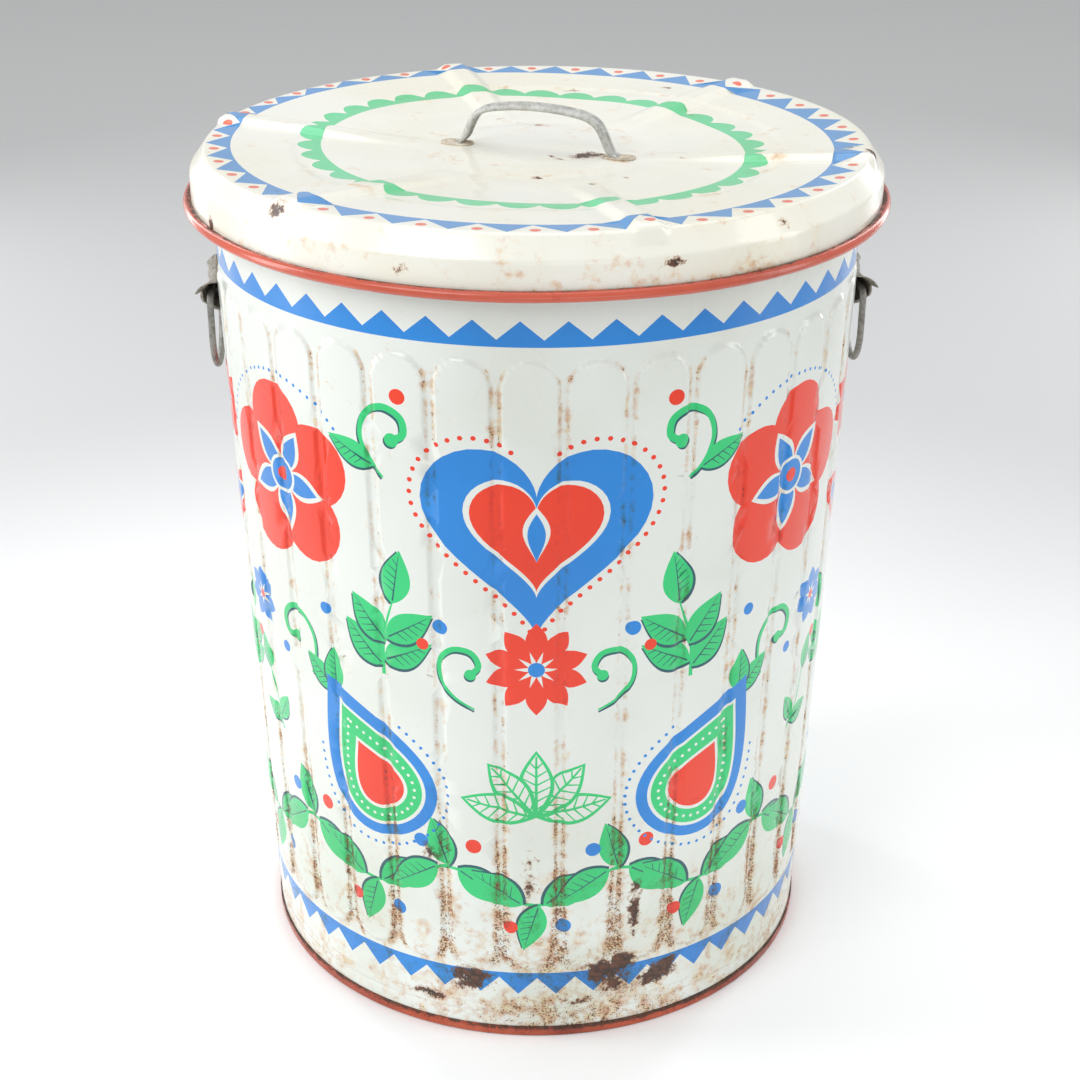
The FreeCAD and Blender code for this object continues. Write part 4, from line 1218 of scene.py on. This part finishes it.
def makeLid():
    inside, spokes, columns = len(lidColours), 264, lidForm["columns"]
    flat, faces, marks = imprintedSheet([], [], lidPoints(), lidShapes(), list(lidColours), "cream")
    x, y = flat[:, 0], flat[:, 1]
    normals = slopeNormals(lidPlace, x, y, 0.35, 0.35)
    normals[np.hypot(x, y) < 1] = (0, 0, 1)
    parts = SheetParts()
    parts.add(lidPlace(x, y), normals, faces, marks, *lidWear(x, y))
    # underside
    turn = np.tile(np.arange(spokes) * 2 * math.pi / spokes, len(underRings))
    far = np.repeat(underRings, spokes)
    x, y = far * np.sin(turn), -far * np.cos(turn)

    def underPlace(a, b):
        return lidPlace(a, b, lidForm["sheet"])
    faces = gridFaces(len(underRings), spokes, 0, True) + [tuple(range(spokes))[::-1]]
    parts.add(underPlace(x, y), -slopeNormals(underPlace, x, y, 0.35, 0.35), faces, inside, 0.42, 0.0, 0.9)
    # rolled bead, a little wavy, with the worst rust in the groove above it
    radius, height, roll = lidForm["bead"]
    section = arcPoints((radius, height), roll, 0, 360, 20)[:-1]
    verts, faces = turnedRings(section, columns, True)
    verts = np.array(verts)
    turn = np.repeat(np.arange(columns) * 2 * math.pi / columns, len(section))
    verts[:, 2] += sum(swing * mm * np.sin(turn * count + phase)
                       for swing, count, phase in lidForm["beadWaves"])
    normals = unit(verts - around(np.degrees(turn), radius, height))
    up = np.clip((verts[:, 2] / mm - height) / roll, -1, 1)
    outward = np.clip((np.hypot(verts[:, 0], verts[:, 1]) / mm - radius) / roll, -1, 1)
    groove = smoothStep((up - outward) / 1.1)
    parts.add(verts, normals, [face[::-1] for face in faces], inside + 1,
              0.36 + 0.3 * groove, 0.1 + 0.42 * groove, 0.4 + 0.6 * groove)
    parts.finish("lidShell", "lid", "lid_shell", lidEnamels + [insideEnamel, beadRed], len(marks))


makeLid()


# Lid handle: grooved strap with oval pads

handleForm = {
    "angle": -19.9,
    "base": 581.3,
    # distance from the middle and height, along one half of the strap
    "path": [(0, 613.05), (12, 612.7), (24, 611.5), (34, 609.7), (41, 606.8), (46.2, 602.2), (49.6, 596),
             (52.6, 589.2), (54.8, 584.6), (56.4, 582.9), (58.0, 582.45), (60.0, 582.3)],
    "width": 11.0,
    "endWidth": 10.0,
    # where the strap starts to narrow and to flatten towards its pads, and over what length
    "narrows": (46, 8),
    "flattens": (52.5, 4.5),
    "depth": 4.2,
    "sheet": 1.1,
    "groove": 2.7,
    "steps": 18,
    "padWidth": 15.0,
    "padMiddles": (61.8, 53.5),
    "padEdge": ((0.02, 0.0), (0.66, 0.05), (1.0, -0.25), (1.1, -0.7)),      # level and growth of the outline
    "rivetAt": 61.5,
    "rivetHeads": (-1.0, 0.75),     # where the heads sit along the rivet, from the lid
}


def strapSection(width, depth, groove):
    # outer side from one skirt over two lobes to the other, then back along the inner side
    half, sheet, steps = width / 2, handleForm["sheet"], handleForm["steps"]
    lobe = half / 2
    outer = [(-half, -depth)]
    for k in range(steps + 1):
        w = -half + width * k / steps
        side = abs(abs(w) - lobe) / lobe
        rolled = (depth - 1.4) * (1 - math.sqrt(max(0.0, 1 - side ** 2)))
        outer.append((w, -groove * side ** 2.2 if abs(w) < lobe else -rolled))
    outer.append((half, -depth))
    inner = [(w * (half - sheet) / half, max(min(n - sheet, 0), -depth)) for w, n in outer]
    return outer + inner[::-1]


def flatSection(width):
    half, sheet, steps = width / 2, handleForm["sheet"], handleForm["steps"]
    upper = [(-half + width * k / steps, -0.25 if k in (0, steps) else 0.0) for k in range(steps + 1)]
    upper = [(-half, -sheet * 0.5)] + upper + [(half, -sheet * 0.5)]
    return upper + [(w * 0.98, -sheet) for w, n in upper[::-1]]


def makeHandle():
    f = handleForm
    right = curve(f["path"], 8)
    line = np.array([(-s, z) for s, z in right[:0:-1]] + right)
    turn = math.radians(f["angle"])
    verts = []
    for (s, z), (ts, tz) in zip(line, unit(np.gradient(line, axis=0))):
        flatness, narrowing = (float(smoothStep((abs(s) - first) / length))
                               for first, length in (f["flattens"], f["narrows"]))
        wide = f["width"] + (f["endWidth"] - f["width"]) * narrowing
        depth = max(f["depth"] + (f["sheet"] - f["depth"]) * flatness, f["sheet"] + 0.05)
        section = flatSection(wide)
        if flatness < 0.999:
            section = strapSection(wide, depth, f["groove"] * (1 - flatness))
        for w, n in section:
            verts.append((*turnedBy(turn, s - tz * n, w), max(z + ts * n, f["base"] + 0.02)))
    count = len(section)
    faces = gridFaces(len(line), count, 0, True)
    faces += capFaces(0, count, True) + capFaces((len(line) - 1) * count, count)
    kinds = [0] * len(faces)
    # the bottom of the groove is darker: painted shade that deepens the groove, with some dirt in it
    for ring in range(len(line) - 1):
        for k in (f["steps"] // 2, f["steps"] // 2 + 1):
            kinds[ring * count + k] = 2
    outer, inner = f["padMiddles"]
    oval = []
    for middle, first in ((outer, -90), (inner, 90)):
        oval += arcPoints((middle, 0), f["padWidth"] / 2, first, first + 180, 14)
    for side in (1, -1):
        start = len(verts)
        for level, grow in f["padEdge"]:
            for s, w in oval:
                middle = outer if s > (outer + inner) / 2 else inner
                far = math.hypot(s - middle, w)
                s, w = middle + (s - middle) * (far + grow) / far, w * (far + grow) / far
                verts.append((*turnedBy(turn, s * side, w * side), f["base"] + level))
        made = gridFaces(len(f["padEdge"]), len(oval), start, True)
        top = len(verts) - len(oval)
        made += [tuple(range(start, start + len(oval)))[::-1], tuple(range(top, len(verts)))]
        faces += made
        kinds += [1] * len(made)
    piece = newPiece("lidHandle", inMetres(verts), faces, "lid", "lid_handle",
                     [zincGrey, zincRusty, zincWire], kinds)
    fixNormals(piece)


makeHandle()


# Rivets with domed heads

rivetForm = {"head": 4.0, "height": 1.6, "shank": 2.2, "dome": (0, 0.2, 0.45, 0.7, 0.9, 1.0), "sides": 20}


def rivetMesh(place, axis, low, high):
    # a shank from low to high along the axis, with a dome at each end
    axis = Vector(axis).normalized()
    side = axis.orthogonal().normalized()
    other = axis.cross(side)
    head, height, shank, dome, count = rivetForm.values()
    arc = [(head * math.sin(math.pi / 2 * share), height * math.cos(math.pi / 2 * share)) for share in dome]
    rows = [(radius, low - up) for radius, up in arc]
    rows += [(head, low), (shank, low), (shank, high), (head, high)]
    rows += [(radius, high + up) for radius, up in arc[::-1]]
    verts = []
    for radius, along in rows:
        for k in range(count):
            turn = 2 * math.pi * k / count
            spoke = (side * math.cos(turn) + other * math.sin(turn)) * max(radius, 0.01)
            verts.append(Vector(place) + axis * along + spoke)
    faces = gridFaces(len(rows), count, 0, True)
    faces += [tuple(range(count))[::-1], tuple(range(len(verts) - count, len(verts)))]
    return inMetres(verts), faces


def manyRivets(name, entries, body, material, node):
    verts, faces = [], []
    for entry in entries:
        made, joined = rivetMesh(*entry)
        faces += [tuple(len(verts) + i for i in face) for face in joined]
        verts += made
    fixNormals(newPiece(name, verts, faces, body, node, [material]))


def makeRivets():
    turn = math.radians(handleForm["angle"])
    entries = []
    for side in (1, -1):
        place = (*turnedBy(turn, side * handleForm["rivetAt"], 0), handleForm["base"])
        entries.append((place, (0, 0, 1), *handleForm["rivetHeads"]))
    manyRivets("lidRivets", entries, "lid", zincRusty, "lid_rivets")
    entries = []
    for side, heads in earForm["rivetHeads"].items():
        turn = math.radians(earForm[side])
        for offset in (earForm["rivets"], -earForm["rivets"]):
            height = earForm["pivot"] + offset
            radius = wallRadius(height)
            outward = (math.sin(turn), -math.cos(turn), 0)
            entries.append(((radius * outward[0], radius * outward[1], height), outward, *heads))
    manyRivets("earRivets", entries, "can", zincDull, "ear_rivets")


# Ears: stamped tunnels, wide at both mouths, on a strap

earForm = {
    "right": 92.0, "left": -88.0,
    "pivot": 489.5,
    "sheet": 1.2,
    "halfLength": 34.0,
    "neck": 10.0,       # reach of the hood at its middle and at its mouths
    "mouth": 16.5,
    "drop": 1.0,        # how much lower its mouths are, and its height as a share of its reach
    "rise": 0.85,
    "lipFrom": 21.5,    # beyond this the hood is open below
    "lipRun": 3.0,
    "lowest": (-90, 23),
    "strap": 13.0,
    "rivets": 14.5,
    # the right ear sits over a valley and the left one on a panel, so their rivets differ in length
    "rivetHeads": {"right": (-1.1, 2.95), "left": (0.4, 2.95)},
}


def earPoint(turn, along, radius, height):
    # radius is measured square to the tangent plane of the ear
    return (*turnedBy(turn, along, -radius), height)


def makeEar(name, side, node):
    f = earForm
    turn = math.radians(f[side])
    plane, sheet = wallRadius(f["pivot"]), f["sheet"]
    panel = canForm["relief"] + canForm["crown"]
    stations, steps = 45, 22
    width, second = steps + 1, stations * (steps + 1)
    verts = []
    for inset in (0.0, sheet):
        for station in range(stations):
            share = 2 * station / (stations - 1) - 1
            along = f["halfLength"] * share
            reach = f["neck"] + (f["mouth"] - f["neck"]) * share ** 2 - inset
            middle = f["pivot"] - f["drop"] * share ** 2
            beyond = float(smoothStep((abs(along) - f["lipFrom"]) / f["lipRun"]))
            lowest = f["lowest"][0] + (f["lowest"][1] - f["lowest"][0]) * beyond
            nearest = math.sqrt((plane + panel) ** 2 - along ** 2)
            row = []
            for step in range(width):
                angle = math.radians(90 + (lowest - 90) * step / steps)
                height = middle + reach * f["rise"] * math.sin(angle)
                row.append([max(plane + reach * math.cos(angle), nearest), height])
            # it starts on the wall and, between its lips, comes back to it
            row[0][0] = nearest
            if beyond < 0.02:
                row[-1][0] = nearest
            verts += [earPoint(turn, along, radius, height) for radius, height in row]
    faces = gridFaces(stations, width) + gridFaces(stations, width, second, False, True)

    def bridge(a, b, flip):
        quad = (a, b, second + b, second + a)
        faces.append(quad[::-1] if flip else quad)
    for k in range(steps):
        for station in (0, stations - 1):
            bridge(station * width + k, station * width + k + 1, station == 0)
    for station in range(stations - 1):
        for k in (0, steps):
            bridge(station * width + k, (station + 1) * width + k, k > 0)
    # strap under the tunnel, curved to the wall, with a rounded edge
    outline = []
    for offset, first in ((f["rivets"], 0), (-f["rivets"], 180)):
        outline += arcPoints((0, f["pivot"] + offset), f["strap"] / 2, first, first + 180, 14)
    rings = ((0.0, 1.0), (sheet - 0.3, 1.0), (sheet - 0.08, 0.985), (sheet, 0.95))
    start = len(verts)
    for lift, shrink in rings:
        for along, height in outline:
            along, height = along * shrink, f["pivot"] + (height - f["pivot"]) * (1 - (1 - shrink) * 0.45)
            radius = math.sqrt((wallRadius(height) + panel + lift) ** 2 - along ** 2)
            verts.append(earPoint(turn, along, radius, height))
    faces += gridFaces(len(rings), len(outline), start, True)
    faces += capFaces(start, len(outline)) + capFaces(len(verts) - len(outline), len(outline))
    fixNormals(newPiece(name, inMetres(verts), faces, "can", node, [zincDull]))


makeRivets()
makeEar("earRight", "right", "ear_right")
makeEar("earLeft", "left", "ear_left")
print("handle, rivets and ears done")


# Bails: wire drop handles

bailForm = {"wire": 2.3, "half": 29.0, "leg": 27.0, "corner": 5.0, "reach": 6.0, "gap": 1.5, "sides": 16}


def makeBail(name, side, body, node):
    f = bailForm
    pivot = earForm["pivot"]
    turn = math.radians(earForm[side])
    plane = wallRadius(pivot) + f["reach"]
    # half of the wire: its straight top, the corner, the leg and the round bottom
    line = [(f["gap"] / 2 + k * (f["half"] - f["corner"] - f["gap"] / 2) / 5, pivot) for k in range(5)]
    line += arcPoints((f["half"] - f["corner"], pivot - f["corner"]), f["corner"], 90, 0, 7)
    line += [(f["half"], pivot - f["corner"] - k * (f["leg"] - f["corner"]) / 6) for k in range(1, 6)]
    line += arcPoints((0, pivot - f["leg"]), f["half"], 0, -90, 20)
    line += [(-x, z) for x, z in line[-2::-1]]
    points = np.array(line)
    verts = []
    for (along, height), (ta, tz) in zip(points, unit(np.gradient(points, axis=0))):
        for k in range(f["sides"]):
            spin = 2 * math.pi * k / f["sides"]
            inPlane, outward = f["wire"] * math.cos(spin), f["wire"] * math.sin(spin)
            verts.append(earPoint(turn, along - tz * inPlane, plane + outward, height + ta * inPlane))
    faces = gridFaces(len(points), f["sides"], 0, True)
    faces += [tuple(range(f["sides"])), tuple(range(len(verts) - f["sides"], len(verts)))]
    fixNormals(newPiece(name, inMetres(verts), faces, body, node, [zincWire]))


makeBail("bailRight", "right", "bail_right", "bail_right")
makeBail("bailLeft", "left", "bail_left", "bail_left")
print("bails done")


# Floor, lights and camera

floorForm = {
    "half": 14.0,
    "level": -0.0006,
    "near": (251, 251, 251),
    # the middle and far greys are painted shade of the light falling off
    "middle": (204, 204, 204),
    "far": (222, 221, 220),
}


def makeFloor():
    # pale near the can, greyer behind it: the grey is painted shade, standing in for the studio light falling
    # off away from the can
    half, level, near, middle, far = floorForm.values()
    mesh = bpy.data.meshes.new("floor")
    corners = [(-half, -half, level), (half, -half, level), (half, half, level), (-half, half, level)]
    mesh.from_pydata(corners, [], [(0, 1, 2, 3)])
    floor = bpy.data.objects.new("floor", mesh)
    bpy.context.scene.collection.objects.link(floor)
    material = bpy.data.materials.new("paleFloor")
    material.use_nodes = True
    w = Wiring(material.node_tree)
    apart = w.add("ShaderNodeVectorMath", operation="LENGTH")
    w.set(apart.inputs[0], w.place())
    apart = apart.outputs["Value"]
    tone = w.mix(w.fit(apart, 0.3, 1.15), colour(*near), colour(*middle))
    w.put(w.tree.nodes["Principled BSDF"], Roughness=0.7,
          Base_Color=w.mix(w.fit(apart, 1.3, 3.4), tone, colour(*far)))
    mesh.materials.append(material)


makeFloor()

# place, height that it is aimed at, width and length, power
lightForms = {
    "keyLight": ((-1.5, -1.9, 2.3), 0.35, (1.6, 1.6), 29),
    "lowFill": ((0.5, -2.6, 0.35), 0.4, (2.0, 0.9), 7),
    "rightStrip": ((1.8, -0.35, 0.9), 0.4, (0.5, 1.8), 9),
    "leftStrip": ((-1.8, -0.1, 0.9), 0.35, (0.5, 1.8), 15),
    "rearRightStrip": ((1.45, 1.65, 0.95), 0.35, (0.3, 2.0), 10),
    "rearLeftStrip": ((-1.4, 1.5, 0.95), 0.35, (0.25, 2.0), 9),
    "topFill": ((0.2, 0.5, 2.8), 0.5, (2.2, 2.2), 20),
}
for name, (place, aim, size, power) in lightForms.items():
    data = bpy.data.lights.new(name, "AREA")
    data.shape = "RECTANGLE"
    data.size, data.size_y = size
    data.energy = power
    light = bpy.data.objects.new(name, data)
    light.location = place
    light.rotation_mode = "QUATERNION"
    light.rotation_quaternion = (Vector((0, 0, aim)) - Vector(place)).to_track_quat("-Z", "Y")
    bpy.context.scene.collection.objects.link(light)

world = bpy.data.worlds.new("studio")
bpy.context.scene.world = world
world.use_nodes = True
world.node_tree.nodes["Background"].inputs["Color"].default_value = (0.96, 0.98, 1.0, 1)
world.node_tree.nodes["Background"].inputs["Strength"].default_value = 0.56

cameraForm = {
    "place": (0, -1.333284, 0.925654),
    "forward": (0.00168924, 0.90297997, -0.42967931),
    "right": (0.99999776, -0.00097821, 0.00187570),
    "up": (-0.00127341, 0.42968152, 0.90297961),
    "lens": 67.05,
}
cameraData = bpy.data.cameras.new("camera")
cameraData.lens = cameraForm["lens"]
cameraData.sensor_width = 36.0
cameraData.clip_end = 60.0
camera = bpy.data.objects.new("camera", cameraData)
bpy.context.scene.collection.objects.link(camera)
sides = [Vector(cameraForm["right"]), Vector(cameraForm["up"]), -Vector(cameraForm["forward"])]
turned = Matrix((sides[0], sides[1], sides[2])).transposed().to_4x4()
camera.matrix_world = Matrix.Translation(cameraForm["place"]) @ turned
bpy.context.scene.camera = camera
bpy.context.scene.view_settings.view_transform = "Standard"
print("stage, lights and camera ready")

bpy.context.view_layer.update()
